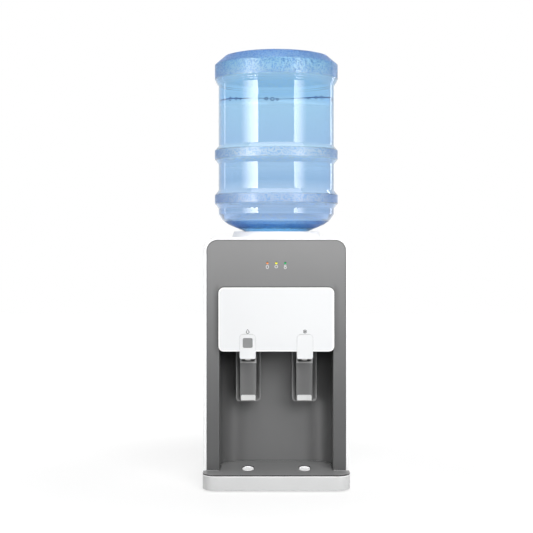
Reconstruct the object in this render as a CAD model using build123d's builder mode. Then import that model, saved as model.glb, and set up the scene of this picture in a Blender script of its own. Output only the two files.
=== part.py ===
from build123d import *
import os
from math import cos, radians, sin

os.makedirs("parts", exist_ok=True)

# Countertop water dispenser. Millimetres, +Z up, front towards -Y.
# The origin is on the table under the middle of the footprint.

# Cabinet
WIDTH = 302.0
BODY_DEPTH = 300.0
TRAY_REACH = 53.0
FACE_Y = -(BODY_DEPTH + TRAY_REACH) / 2 + TRAY_REACH
BACK_Y = FACE_Y + BODY_DEPTH
TRAY_FRONT_Y = FACE_Y - TRAY_REACH
FOOT_HEIGHT = 3.0
BASE_TOP = 35.5
BODY_TOP = 518.0
BODY_CORNER = 27.0
WALL = 3.0
RIM_SIDE = 6.5
RIM_TOP = 5.5
RIM_DEPTH = 8.0
PANEL_INSET = 0.6
PANEL_GAP = 0.4
PANEL_TOP = BODY_TOP - RIM_TOP
PANEL_CORNER = BODY_CORNER - 4.0

# Recess where a cup stands
RECESS_HALF = 118.0
RECESS_DEPTH = 115.0
RECESS_CORNER = 45.0
RECESS_CEILING = 350.0
LINER_WALL = 2.5
RECESS_BACK_Y = FACE_Y + RECESS_DEPTH

# Front cover over the tap levers
COVER_WIDTH = 239.0
COVER_BOTTOM = 282.0
COVER_TOP = 414.0
COVER_CORNER = 11.3
COVER_PROUD = 13.0
COVER_WALL = 2.5
COVER_Y = FACE_Y - COVER_PROUD

# Taps
TAP_X = 59.0
NOZZLE_Y = FACE_Y + 22.0
NOZZLE_TIP = 261.5
SEAT_Z = 283.0
BARREL_TOP = 312.0
SHANK_Z = 300.0
PIN_Y = FACE_Y - 1.5
PIN_Z = 328.0
PIN_RADIUS = 1.5
LEVER_HALF = 17.0
LEVER_ARM = 3.0
PADDLE_Y = FACE_Y + 44.0
PADDLE_BOTTOM = 175.0
PADDLE_TOP = 256.0
PAD_HALF = 16.0
PAD_BOTTOM = 268.0
PAD_TOP = 317.0
PAD_Y = COVER_Y - 0.6
STEM_RADIUS = 2.0
STEM_HEAD_Z = 333.0
SPRING_TOP = 319.0
SPRING_BOTTOM = 304.2
BUTTON_SIDE = 19.5
BUTTON_Z = 300.0

# Tap housings in the recess
HOUSING_HALF = 26.0
HOUSING_Y = FACE_Y + 48.0
HOUSING_BOTTOM = 172.0
TROUGH_HALF = 24.0
TROUGH_DEPTH = 32.0
TROUGH_TAPER = 10.5

# Drip tray and its cover
COVER_PLATE = 2.6
COVER_REST = 0.5
TRAY_TOP = BASE_TOP - COVER_PLATE - COVER_REST
TRAY_CORNER = 30.0
TAIL_HALF = RECESS_HALF - 1.0
TAIL_BACK_Y = RECESS_BACK_Y - 1.0
DRAIN_WIDTH = 24.0
DRAIN_LENGTH = 60.0
DRAIN_Y = TRAY_FRONT_Y + 78.0

# Bottle and its seat
BOTTLE_Y = FACE_Y + 150.0
BOTTLE_RADIUS = 134.0
BOTTLE_WAIST = 126.0
BOTTLE_TOP = 916.0
BOTTLE_WALL = 1.6
NECK_RADIUS = 27.5
NECK_END = 452.0
COLLAR_TOP = 530.3
COLLAR_BASE_RADIUS = 96.7
COLLAR_TOP_RADIUS = 92.0
THROAT_RADIUS = 36.0
THROAT_BOTTOM = 438.0
THROAT_WALL = 2.5

# Indicators
LED_Z = 464.4
LED_PITCH = 18.5
LED_RADIUS = 2.5

# Cooling and water path
TANK_Y = BACK_Y - 107.5
TANK_RADIUS = 46.0
TANK_BOTTOM = 222.0
TANK_TOP = 372.0
FOAM_HALF = 60.0
FOAM_BOTTOM = 205.0
FOAM_TOP = 388.0
RESERVOIR_BOTTOM = 392.0
RESERVOIR_RADIUS = 70.0
PELTIER_Z = (TANK_BOTTOM + TANK_TOP) / 2
FAN_SIDE = 80.0
FAN_DEPTH = 15.0
TUBE_Y = 1.0
TUBE_RADIUS = 4.2
TUBE_BORE = 3.0

# Rear panel, set in from the shell's rear edge
REAR_INSET = 6.0
REAR_WALL = 2.5
REAR_Y = BACK_Y - REAR_INSET
DRAIN_OUT_X = -25.0
DRAIN_OUT_Z = 60.0
INLET_X = 95.0
INLET_Z = 70.0
SWITCH_Z = 112.0


def level(z):
    """Horizontal sketch plane at a height."""
    return Plane.XY.offset(z)


def facing(y):
    """Upright sketch plane that faces the front, at a depth."""
    return Plane.XZ.offset(-y)


def across(x):
    """Upright sketch plane seen from the right, local axes Y and Z."""
    return Plane.YZ.offset(x)


def upright(y=BOTTLE_Y, x=0.0):
    """Vertical axis through a point of the plan."""
    return Axis((x, y, 0), (0, 0, 1))


def tee_outline(margin, front_gap):
    """Plan of the tray: a full-width front and a narrower tail in the recess."""
    half = WIDTH / 2 - margin
    front = TRAY_FRONT_Y + margin
    step = FACE_Y - front_gap
    with Locations((0, (front + step) / 2)):
        head = Rectangle(2 * half, step - front)
    fillet(head.vertices().group_by(Axis.Y)[0], TRAY_CORNER - margin)
    tail_half = TAIL_HALF - margin
    tail_back = TAIL_BACK_Y - margin
    with BuildSketch(mode=Mode.PRIVATE) as tail:
        with Locations((0, (front + tail_back) / 2)):
            Rectangle(2 * tail_half, tail_back - front)
        fillet(tail.vertices().group_by(Axis.Y)[-1], RECESS_CORNER - 1.0 - margin)
        with Locations((0, front - TRAY_CORNER)):
            Rectangle(2 * half, 4 * TRAY_CORNER, mode=Mode.SUBTRACT)
    add(tail.sketch)


# ---------------------------------------------------------------- cabinet

# Base pan: open on top, with a bay that the drip tray slides into from the front.
BASE_HEIGHT = BASE_TOP - FOOT_HEIGHT
BAY_HALF = RECESS_HALF + 2.0
BAY_BACK_Y = RECESS_BACK_Y + 2.0
FOOT_X = WIDTH / 2 - 24.0
FOOT_Y = BODY_DEPTH / 2 - 26.0
FOOT_RADIUS = 10.0
FOOT_POCKET = 1.6
BODY_MID_Y = (FACE_Y + BACK_Y) / 2
BASE_CORNER = 5.0

with BuildPart() as base:
    with BuildSketch(level(FOOT_HEIGHT)):
        with Locations((0, BODY_MID_Y)):
            Rectangle(WIDTH, BODY_DEPTH)
    extrude(amount=BASE_HEIGHT)
    fillet(base.edges().filter_by(Axis.Z).group_by(Axis.Y)[-1], BASE_CORNER)
    with BuildSketch(level(FOOT_HEIGHT + WALL)):
        with Locations((0, BODY_MID_Y)):
            Rectangle(WIDTH - 2 * WALL, BODY_DEPTH - 2 * WALL)
    extrude(amount=BASE_HEIGHT, mode=Mode.SUBTRACT)
    with BuildSketch(level(FOOT_HEIGHT + WALL)):
        with Locations((0, (FACE_Y + BAY_BACK_Y + WALL) / 2)):
            Rectangle(2 * (BAY_HALF + WALL), BAY_BACK_Y + WALL - FACE_Y)
    extrude(amount=BASE_HEIGHT - WALL)
    with BuildSketch(level(FOOT_HEIGHT + WALL)):
        with Locations((0, (FACE_Y + BAY_BACK_Y) / 2)):
            Rectangle(2 * BAY_HALF, BAY_BACK_Y - FACE_Y)
    extrude(amount=BASE_HEIGHT, mode=Mode.SUBTRACT)
    with BuildSketch(level(FOOT_HEIGHT)):
        with Locations((0, BODY_MID_Y)):
            with GridLocations(2 * FOOT_X, 2 * FOOT_Y, 2, 2):
                Circle(FOOT_RADIUS)
    extrude(amount=FOOT_POCKET, mode=Mode.SUBTRACT)
base.part.label = "base"
export_step(base.part, "parts/base.step")

# Rubber feet seated in the base's pockets.
FOOT_FIT = 0.2
FOOT_EDGE = 0.8

with BuildPart() as feet:
    with BuildSketch(level(0)):
        with Locations((0, BODY_MID_Y)):
            with GridLocations(2 * FOOT_X, 2 * FOOT_Y, 2, 2):
                Circle(FOOT_RADIUS - FOOT_FIT)
    extrude(amount=FOOT_HEIGHT + FOOT_POCKET)
    chamfer(feet.edges().group_by(Axis.Z)[0], FOOT_EDGE)
feet.part.label = "rubber_feet"
export_step(feet.part, "parts/rubber_feet.step")

# Shell: sides and top in one wrap, with a thicker rim round the front panel.
SHELL_HEIGHT = BODY_TOP - BASE_TOP
SEAT_OPENING = 88.0
LIP = 8.0
SHELL_EDGE = 2.2


def arch(width, top, corner):
    """Front outline with square feet and rounded shoulders."""
    with Locations((0, (BASE_TOP + top) / 2)):
        outline = Rectangle(width, top - BASE_TOP)
    fillet(outline.vertices().group_by(Axis.Y)[-1], corner)


with BuildPart() as shell:
    with BuildSketch(facing(BACK_Y)):
        arch(WIDTH, BODY_TOP, BODY_CORNER)
    extrude(amount=BODY_DEPTH)
    front_loop = shell.edges().group_by(Axis.Y)[0]
    fillet(front_loop.sort_by(Axis.Z)[1:], SHELL_EDGE)
    back_loop = shell.edges().group_by(Axis.Y)[-1]
    fillet(back_loop.sort_by(Axis.Z)[1:], SHELL_EDGE)
    with BuildSketch(facing(BACK_Y)):
        arch(WIDTH - 2 * WALL, BODY_TOP - WALL, BODY_CORNER - WALL)
    extrude(amount=BODY_DEPTH - RIM_DEPTH, mode=Mode.SUBTRACT)
    with BuildSketch(facing(FACE_Y)):
        arch(WIDTH - 2 * RIM_SIDE, PANEL_TOP, PANEL_CORNER)
    extrude(amount=-RIM_DEPTH, mode=Mode.SUBTRACT)
    with BuildSketch(facing(REAR_Y - REAR_WALL)):
        arch(WIDTH - 2 * WALL, BODY_TOP - WALL, BODY_CORNER - WALL)
        with Locations((0, BASE_TOP)):
            Rectangle(WIDTH - 2 * WALL - 2 * LIP, 2 * (SHELL_HEIGHT - WALL - LIP), mode=Mode.SUBTRACT)
    extrude(amount=WALL)
    with BuildSketch(level(BODY_TOP)):
        with Locations((0, BOTTLE_Y)):
            Circle(SEAT_OPENING)
    extrude(amount=-2 * WALL, mode=Mode.SUBTRACT)
shell.part.label = "shell"
export_step(shell.part, "parts/shell.step")

# Front panel: a face plate that runs down beside the recess as two columns.
PANEL_Y = FACE_Y + PANEL_INSET
PANEL_WALL = 3.0
PANEL_EDGE = 0.8
COLUMN_EDGE = 1.2
LED_FIT = 0.1

with BuildPart() as front_panel:
    with BuildSketch(facing(PANEL_Y)):
        arch(WIDTH - 2 * (RIM_SIDE + PANEL_GAP), PANEL_TOP - PANEL_GAP, PANEL_CORNER - PANEL_GAP)
    extrude(amount=-PANEL_WALL)
    outer_loop = front_panel.edges().group_by(Axis.Y)[0]
    fillet(outer_loop.sort_by(Axis.Z)[1:], PANEL_EDGE)
    with BuildSketch(facing(PANEL_Y)):
        with Locations((0, RECESS_CEILING / 2)):
            Rectangle(2 * RECESS_HALF, RECESS_CEILING)
        with Locations((0, LED_Z)):
            with GridLocations(LED_PITCH, 1, 3, 1):
                Circle(LED_RADIUS + LED_FIT)
    extrude(amount=-PANEL_WALL, mode=Mode.SUBTRACT)
    recess_edges = front_panel.edges().filter_by(Axis.Z).group_by(Axis.Y)[0]
    fillet(recess_edges.sort_by(lambda edge: abs(edge.center().X))[:2], COLUMN_EDGE)
front_panel.part.label = "front_panel"
export_step(front_panel.part, "parts/front_panel.step")

# Recess liner: wrapped wall with large rear corners and a ceiling, holed for the shanks.
LINER_FRONT_Y = PANEL_Y + PANEL_WALL
SHANK_RADIUS = 6.0
SHANK_FIT = 0.2


def liner_plan(half, back_y, corner):
    """Plan of the recess, square in front and rounded behind."""
    with Locations((0, (LINER_FRONT_Y + back_y) / 2)):
        plan = Rectangle(2 * half, back_y - LINER_FRONT_Y)
    fillet(plan.vertices().group_by(Axis.Y)[-1], corner)


with BuildPart() as recess_liner:
    with BuildSketch(level(BASE_TOP)):
        liner_plan(RECESS_HALF + LINER_WALL, RECESS_BACK_Y + LINER_WALL, RECESS_CORNER + LINER_WALL)
    extrude(amount=RECESS_CEILING + LINER_WALL - BASE_TOP)
    with BuildSketch(level(BASE_TOP)):
        liner_plan(RECESS_HALF, RECESS_BACK_Y, RECESS_CORNER)
    extrude(amount=RECESS_CEILING - BASE_TOP, mode=Mode.SUBTRACT)
    with BuildSketch(facing(RECESS_BACK_Y + LINER_WALL)):
        with Locations((0, SHANK_Z)):
            with GridLocations(2 * TAP_X, 1, 2, 1):
                Circle(SHANK_RADIUS + SHANK_FIT)
    extrude(amount=2 * LINER_WALL, mode=Mode.SUBTRACT)
recess_liner.part.label = "recess_liner"
export_step(recess_liner.part, "parts/recess_liner.step")

# Front cover: shallow box with a notch for each tap pad, open towards the cabinet.
PAD_FIT = 0.7
NOTCH_HALF = PAD_HALF + PAD_FIT
NOTCH_RISE = 1.0
NOTCH_HEIGHT = 50.0
NOTCH_CORNER = 8.0
NOTCH_FOOT = 30.0
COVER_EDGE = 2.0
COVER_MID_Z = (COVER_BOTTOM + COVER_TOP) / 2
COVER_HEIGHT = COVER_TOP - COVER_BOTTOM
COVER_INNER_WIDTH = COVER_WIDTH - 2 * COVER_WALL
COVER_INNER_HEIGHT = COVER_HEIGHT - 2 * COVER_WALL

with BuildPart() as front_cover:
    with BuildSketch(facing(PANEL_Y)):
        with Locations((0, COVER_MID_Z)):
            RectangleRounded(COVER_WIDTH, COVER_HEIGHT, COVER_CORNER)
    extrude(amount=PANEL_Y - COVER_Y)
    fillet(front_cover.edges().group_by(Axis.Y)[0], COVER_EDGE)
    with BuildSketch(facing(PANEL_Y)):
        with Locations((0, COVER_MID_Z)):
            RectangleRounded(COVER_INNER_WIDTH, COVER_INNER_HEIGHT, COVER_CORNER - COVER_WALL)
    extrude(amount=PANEL_Y - COVER_Y - COVER_WALL, mode=Mode.SUBTRACT)
    with BuildSketch(facing(PANEL_Y)):
        with Locations((0, PAD_TOP + NOTCH_RISE - NOTCH_HEIGHT / 2)):
            with GridLocations(2 * TAP_X, 1, 2, 1):
                RectangleRounded(2 * NOTCH_HALF, NOTCH_HEIGHT, NOTCH_CORNER)
        with Locations((0, COVER_BOTTOM)):
            with GridLocations(2 * TAP_X, 1, 2, 1):
                Rectangle(2 * NOTCH_HALF, NOTCH_FOOT)
    extrude(amount=PANEL_Y - COVER_Y, mode=Mode.SUBTRACT)
front_cover.part.label = "front_cover"
export_step(front_cover.part, "parts/front_cover.step")

# Rear panel: vent louvres, fan grille, and holes for the drain, inlet and switch.
REAR_FIT = 0.3
REAR_MARGIN = WALL + REAR_FIT
LOUVRE_LENGTH = 78.0
LOUVRE_WIDTH = 4.0
LOUVRE_PITCH = 10.0
LOUVRE_SPREAD = 1.15 * LOUVRE_LENGTH
FAN_LOUVRES = 8
UPPER_LOUVRES = 5
UPPER_LOUVRE_Z = 430.0
LOWER_LOUVRES = 4
LOWER_LOUVRE_Z = 160.0
INLET_WIDTH = 28.0
INLET_HEIGHT = 22.0
SWITCH_WIDTH = 14.0
SWITCH_HEIGHT = 20.0
DRAIN_HOLE = 16.0
REAR_SCREW_X = WIDTH / 2 - WALL - LIP / 2
REAR_SCREW_TOP = 440.0
REAR_SCREW_BOTTOM = 60.0

with BuildPart() as rear_panel:
    with BuildSketch(facing(REAR_Y)):
        arch(WIDTH - 2 * REAR_MARGIN, BODY_TOP - REAR_MARGIN, BODY_CORNER - REAR_MARGIN)
    extrude(amount=REAR_WALL)
    with BuildSketch(facing(REAR_Y)):
        with Locations((0, PELTIER_Z)):
            with GridLocations(1, LOUVRE_PITCH, 1, FAN_LOUVRES):
                SlotOverall(LOUVRE_LENGTH, LOUVRE_WIDTH)
        with Locations((0, UPPER_LOUVRE_Z)):
            with GridLocations(LOUVRE_SPREAD, LOUVRE_PITCH, 2, UPPER_LOUVRES):
                SlotOverall(LOUVRE_LENGTH, LOUVRE_WIDTH)
        with Locations((0, LOWER_LOUVRE_Z)):
            with GridLocations(LOUVRE_SPREAD, LOUVRE_PITCH, 2, LOWER_LOUVRES):
                SlotOverall(LOUVRE_LENGTH, LOUVRE_WIDTH)
        with Locations((DRAIN_OUT_X, DRAIN_OUT_Z)):
            Circle(DRAIN_HOLE)
        with Locations((INLET_X, INLET_Z)):
            Rectangle(INLET_WIDTH, INLET_HEIGHT)
        with Locations((INLET_X, SWITCH_Z)):
            Rectangle(SWITCH_WIDTH, SWITCH_HEIGHT)
    extrude(amount=REAR_WALL, mode=Mode.SUBTRACT)
rear_panel.part.label = "rear_panel"
export_step(rear_panel.part, "parts/rear_panel.step")

# Pan-head screws with a cross recess that hold the rear panel to the shell's lip.
SCREW_HEAD_RADIUS = 3.5
SCREW_HEAD_HEIGHT = 2.0
SCREW_HEAD_EDGE = 0.7
CROSS_LENGTH = 3.8
CROSS_WIDTH = 0.9
CROSS_DEPTH = 1.1
SCREW_MID_Z = (REAR_SCREW_BOTTOM + REAR_SCREW_TOP) / 2
SCREW_PITCH = (REAR_SCREW_TOP - REAR_SCREW_BOTTOM) / 2

with BuildPart() as case_screws:
    with BuildSketch(facing(REAR_Y)):
        with Locations((0, SCREW_MID_Z)):
            with GridLocations(2 * REAR_SCREW_X, SCREW_PITCH, 2, 3):
                Circle(SCREW_HEAD_RADIUS)
    extrude(amount=-SCREW_HEAD_HEIGHT)
    chamfer(case_screws.edges().group_by(Axis.Y)[-1], SCREW_HEAD_EDGE)
    with BuildSketch(facing(REAR_Y + SCREW_HEAD_HEIGHT)):
        with Locations((0, SCREW_MID_Z)):
            with GridLocations(2 * REAR_SCREW_X, SCREW_PITCH, 2, 3):
                Rectangle(CROSS_LENGTH, CROSS_WIDTH)
                Rectangle(CROSS_WIDTH, CROSS_LENGTH)
    extrude(amount=CROSS_DEPTH, mode=Mode.SUBTRACT)
case_screws.part.label = "case_screws"
export_step(case_screws.part, "parts/case_screws.step")


# ---------------------------------------------------------------- drip tray

TRAY_FLOOR_Z = FOOT_HEIGHT
TAIL_FIT = 0.3
TAIL_FLOOR_Z = FOOT_HEIGHT + WALL + TAIL_FIT
TRAY_WALL = 2.5
STEP_GAP = 0.5
STEP_BACK_Y = TAIL_BACK_Y + 2.0
TRAY_EDGE = 1.6

# Drip tray: a white basin whose full-width front is the visible plinth.
with BuildPart() as drip_tray:
    with BuildSketch(level(TRAY_FLOOR_Z)):
        tee_outline(0.0, STEP_GAP)
    extrude(amount=TRAY_TOP - TRAY_FLOOR_Z)
    with BuildSketch(level(TRAY_FLOOR_Z)):
        with Locations((0, (FACE_Y - STEP_GAP + STEP_BACK_Y) / 2)):
            Rectangle(WIDTH, STEP_BACK_Y - FACE_Y + STEP_GAP)
    extrude(amount=TAIL_FLOOR_Z - TRAY_FLOOR_Z, mode=Mode.SUBTRACT)
    with BuildSketch(level(TAIL_FLOOR_Z + TRAY_WALL)):
        tee_outline(TRAY_WALL, STEP_GAP + TRAY_WALL)
    extrude(amount=TRAY_TOP, mode=Mode.SUBTRACT)
    front_face = drip_tray.faces().filter_by(Axis.Z).sort_by(Axis.Z)[0]
    fillet(front_face.edges().sort_by(Axis.Y)[:3], TRAY_EDGE)
drip_tray.part.label = "drip_tray"
export_step(drip_tray.part, "parts/drip_tray.step")

# Tray cover: a flat lid with a drain slot under each tap and a locating skirt.
SKIRT_DEPTH = 4.0
SKIRT_FIT = 0.4
SKIRT_GAP = TRAY_WALL + SKIRT_FIT
SKIRT_WALL = 1.8
SKIRT_INNER = SKIRT_GAP + SKIRT_WALL
COVER_FOOT_Z = TRAY_TOP + COVER_REST
PLATE_EDGE = 0.9

with BuildPart() as tray_cover:
    with BuildSketch(level(COVER_FOOT_Z)):
        tee_outline(0.0, STEP_GAP)
    extrude(amount=COVER_PLATE)
    top_face = tray_cover.faces().filter_by(Axis.Z).sort_by(Axis.Z)[-1]
    fillet(top_face.edges(), PLATE_EDGE)
    with BuildSketch(level(COVER_FOOT_Z)):
        tee_outline(SKIRT_GAP, STEP_GAP + SKIRT_GAP)
    extrude(amount=-SKIRT_DEPTH)
    with BuildSketch(level(COVER_FOOT_Z)):
        tee_outline(SKIRT_INNER, STEP_GAP + SKIRT_INNER)
    extrude(amount=-SKIRT_DEPTH, mode=Mode.SUBTRACT)
    with BuildSketch(level(BASE_TOP)):
        with Locations((0, DRAIN_Y)):
            with GridLocations(2 * TAP_X, 1, 2, 1):
                SlotOverall(DRAIN_LENGTH, DRAIN_WIDTH, rotation=90)
    extrude(amount=-2 * COVER_PLATE, mode=Mode.SUBTRACT)
tray_cover.part.label = "tray_cover"
export_step(tray_cover.part, "parts/tray_cover.step")


# ---------------------------------------------------------------- taps

# Each tap: a valve barrel on a shank through the recess wall, a bonnet that carries the
# lever pin, a stem with a soft seat cup, and a lever whose arms straddle the barrel.
BARREL_RADIUS = 11.0
CHAMBER_RADIUS = 8.0
NOZZLE_RADIUS = 6.4
NOZZLE_BORE = 4.0
SHANK_BORE = 2.5
SHANK_END_Y = TUBE_Y + SHANK_RADIUS
BARB_REACH = 16.0
BARB_RADIUS = TUBE_BORE - 0.1
BARB_BORE = TUBE_BORE - 1.1
ELBOW_RADIUS = 5.0
NOZZLE_EDGE = 0.6
NOZZLE_LEAD = 6.0
BONNET_RADIUS = 12.0
BONNET_HEIGHT = 10.0
BONNET_EDGE = 1.2
BONNET_TOP = BARREL_TOP + BONNET_HEIGHT
SPRING_RADIUS = 4.0
SPRING_WIRE = 0.8
SPRING_CLEAR = 0.8 * SPRING_WIRE
SPRING_TURNS = 3
SPRING_POCKET = SPRING_RADIUS + 1.2
STEM_FIT = 0.08
STEM_FOOT_Z = SEAT_Z + 4.3
STEM_COLLAR_Z = SPRING_BOTTOM - 1.6
STEM_COLLAR_RADIUS = SPRING_RADIUS + 0.9
STEM_HEAD_RADIUS = 4.0
STEM_HEAD_RIM = 1.6
STEM_HEAD_HEIGHT = 2.6
CUP_FOOT_Z = SEAT_Z + 0.2
CUP_FOOT_RADIUS = CHAMBER_RADIUS - 2.2
CUP_LIP_Z = SEAT_Z + 1.4
CUP_LIP_RADIUS = CHAMBER_RADIUS - 1.2
CUP_WAIST_Z = SEAT_Z + 6.0
CUP_WAIST_RADIUS = CHAMBER_RADIUS - 2.8
CUP_NECK_RADIUS = STEM_RADIUS + 1.4
CUP_TOP_Z = SEAT_Z + 9.0
HOUSING_TOP = RECESS_CEILING
HOUSING_CORNER = 8.0
HOUSING_EDGE = 0.7
TROUGH_CORNER = 6.5
TROUGH_SILL = 2.0
TROUGH_OVERRUN = 30.0
LEG_Y = PIN_Y - 7.9
LEG_WALL = 2.5
LEG_BOTTOM = PAD_BOTTOM + 7.0
LEG_TOP = 322.0
PADDLE_WALL = 3.0
PADDLE_DISH = 60.0
FORK_TOP = STEM_HEAD_Z - 0.8
FORK_WALL = 2.2
FORK_DEPTH = 13.0
FORK_SLOT_LENGTH = 20.0
FORK_SLOT_Y = NOZZLE_Y + 5.0
FORK_FIT = 1.4
ARM_TOP = PIN_Z + 5.5
ARM_BOTTOM = PIN_Z - 5.5
ARM_ROOT_Y = PADDLE_Y - 2.0
ARM_ROOT_Z = PIN_Z - 22.0
ARM_BEND_Y = PADDLE_Y - 16.0
ARM_NOSE = 3.6
ARM_HEEL_Y = PIN_Y + 3.0
LEG_ROOT = LEG_TOP - 14.0
WINDOW_HEIGHT = 120.0
WINDOW_CORNER = 5.0
PIN_FIT = 0.06
EAR_X = 9.5
EAR_WALL = 3.0
EAR_RADIUS = 4.0
EAR_HEEL_Y = NOZZLE_Y - 6.0
EAR_HEEL_Z = BARREL_TOP + 4.0
EAR_SHOULDER_Y = NOZZLE_Y - 8.0
EAR_SHOULDER_Z = BARREL_TOP + 8.0
EAR_GAP_HEIGHT = 30.0
INSERT_HALF = 15.2
INSERT_HEIGHT = 11.5
INSERT_PROUD = 1.6
INSERT_CORNER = 2.6
PAD_WALL = LEG_Y - PAD_Y
PAD_UPPER_CORNER = 7.4
PAD_LOWER_CORNER = 4.0
PAD_EDGE = 1.0
LOCK_SHANK = 3.0
LOCK_WALL = 2.3
LOCK_PROUD = 0.5
LOCK_FIT = 0.08
LOCK_POCKET = BUTTON_SIDE + 0.7
POCKET_CORNER = 3.0


def tap_housing(side, x):
    """Hollow hood on the recess wall with a splayed trough that the paddle swings into."""
    mid_z = (HOUSING_BOTTOM + HOUSING_TOP) / 2
    height = HOUSING_TOP - HOUSING_BOTTOM
    depth = RECESS_BACK_Y - HOUSING_Y
    with BuildPart() as housing:
        with BuildSketch(facing(HOUSING_Y)):
            with Locations((x, mid_z)):
                outline = Rectangle(2 * HOUSING_HALF, height)
            fillet(outline.vertices().group_by(Axis.Y)[0], HOUSING_CORNER)
        extrude(amount=-depth)
        fillet(housing.edges().group_by(Axis.Y)[0].sort_by(Axis.Z)[:-1], HOUSING_EDGE)
        with BuildSketch(facing(HOUSING_Y)):
            with Locations((x, mid_z + TROUGH_OVERRUN)):
                trough = Rectangle(2 * TROUGH_HALF, height - 2 * TROUGH_SILL + 2 * TROUGH_OVERRUN)
            fillet(trough.vertices().group_by(Axis.Y)[0], TROUGH_CORNER)
        extrude(amount=-TROUGH_DEPTH, taper=TROUGH_TAPER, mode=Mode.SUBTRACT)
        with BuildSketch(facing(HOUSING_Y + TROUGH_DEPTH + LINER_WALL)):
            with Locations((x, mid_z)):
                Rectangle(2 * (HOUSING_HALF - LINER_WALL), height - 2 * LINER_WALL)
        extrude(amount=-(depth - TROUGH_DEPTH - LINER_WALL), mode=Mode.SUBTRACT)
        with BuildSketch(facing(HOUSING_Y)):
            with Locations((x, SHANK_Z)):
                Circle(SHANK_RADIUS + SHANK_FIT)
        extrude(amount=-depth, mode=Mode.SUBTRACT)
        with BuildSketch(level(BASE_TOP)):
            liner_plan(RECESS_HALF, RECESS_BACK_Y, RECESS_CORNER)
        extrude(amount=RECESS_CEILING - BASE_TOP, mode=Mode.INTERSECT)
    housing.part.label = f"{side}_tap_housing"
    export_step(housing.part, f"parts/{side}_tap_housing.step")


def faucet_body(side, x, barb_sign):
    """Valve barrel and nozzle turned about the drip line, with a shank and barbed tail."""
    with BuildPart() as body:
        with BuildSketch(facing(NOZZLE_Y)):
            with BuildLine():
                Polyline(
                    (x, NOZZLE_TIP),
                    (x + NOZZLE_RADIUS - NOZZLE_EDGE, NOZZLE_TIP),
                    (x + NOZZLE_RADIUS, NOZZLE_TIP + NOZZLE_LEAD),
                    (x + NOZZLE_RADIUS, SEAT_Z - NOZZLE_LEAD),
                    (x + BARREL_RADIUS, SEAT_Z),
                    (x + BARREL_RADIUS, BARREL_TOP),
                    (x, BARREL_TOP),
                    close=True,
                )
            make_face()
        revolve(axis=upright(NOZZLE_Y, x))
        with BuildSketch(facing(NOZZLE_Y)):
            with Locations((x, SHANK_Z)):
                Circle(SHANK_RADIUS)
        extrude(amount=-(SHANK_END_Y - NOZZLE_Y))
        with BuildSketch(level(SHANK_Z)):
            with Locations((x, TUBE_Y)):
                Circle(ELBOW_RADIUS)
        extrude(amount=barb_sign * SHANK_RADIUS)
        with BuildSketch(level(SHANK_Z)):
            with Locations((x, TUBE_Y)):
                Circle(BARB_RADIUS)
        extrude(amount=barb_sign * BARB_REACH)
        with BuildSketch(level(SEAT_Z)):
            with Locations((x, NOZZLE_Y)):
                Circle(CHAMBER_RADIUS)
        extrude(amount=BARREL_TOP - SEAT_Z, mode=Mode.SUBTRACT)
        with BuildSketch(level(NOZZLE_TIP)):
            with Locations((x, NOZZLE_Y)):
                Circle(NOZZLE_BORE)
        extrude(amount=SEAT_Z - NOZZLE_TIP, mode=Mode.SUBTRACT)
        with BuildSketch(facing(NOZZLE_Y)):
            with Locations((x, SHANK_Z)):
                Circle(SHANK_BORE)
        extrude(amount=-(TUBE_Y - NOZZLE_Y), mode=Mode.SUBTRACT)
        with BuildSketch(level(SHANK_Z)):
            with Locations((x, TUBE_Y)):
                Circle(BARB_BORE)
        extrude(amount=barb_sign * BARB_REACH, mode=Mode.SUBTRACT)
    body.part.label = f"{side}_faucet_body"
    export_step(body.part, f"parts/{side}_faucet_body.step")


def bonnet(side, x):
    """Valve cap with a spring pocket, a stem guide and two ears for the lever pin."""
    with BuildPart() as cap:
        with BuildSketch(level(BARREL_TOP)):
            with Locations((x, NOZZLE_Y)):
                Circle(BONNET_RADIUS)
        extrude(amount=BONNET_HEIGHT)
        chamfer(cap.edges().group_by(Axis.Z)[-1], BONNET_EDGE)
        with BuildSketch(across(x - EAR_X - EAR_WALL / 2)):
            with Locations((PIN_Y, PIN_Z)):
                Circle(EAR_RADIUS)
            with BuildLine():
                Polyline(
                    (PIN_Y, PIN_Z - EAR_RADIUS),
                    (EAR_HEEL_Y, EAR_HEEL_Z),
                    (NOZZLE_Y, EAR_HEEL_Z),
                    (NOZZLE_Y, EAR_SHOULDER_Z),
                    (EAR_SHOULDER_Y, BONNET_TOP),
                    (PIN_Y, PIN_Z + EAR_RADIUS),
                    close=True,
                )
            make_face()
        extrude(amount=2 * EAR_X + EAR_WALL)
        with BuildSketch(across(x - EAR_X + EAR_WALL / 2)):
            with Locations(((PIN_Y + NOZZLE_Y) / 2 - BONNET_RADIUS, PIN_Z)):
                Rectangle(NOZZLE_Y - PIN_Y, EAR_GAP_HEIGHT)
        extrude(amount=2 * EAR_X - EAR_WALL, mode=Mode.SUBTRACT)
        with BuildSketch(across(x - LEVER_HALF)):
            with Locations((PIN_Y, PIN_Z)):
                Circle(PIN_RADIUS)
        extrude(amount=2 * LEVER_HALF, mode=Mode.SUBTRACT)
        with BuildSketch(level(BARREL_TOP)):
            with Locations((x, NOZZLE_Y)):
                Circle(SPRING_POCKET)
        extrude(amount=SPRING_TOP - BARREL_TOP, mode=Mode.SUBTRACT)
        with BuildSketch(level(BARREL_TOP)):
            with Locations((x, NOZZLE_Y)):
                Circle(STEM_RADIUS + STEM_FIT)
        extrude(amount=2 * BONNET_HEIGHT, mode=Mode.SUBTRACT)
    cap.part.label = f"{side}_bonnet"
    export_step(cap.part, f"parts/{side}_bonnet.step")


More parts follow.
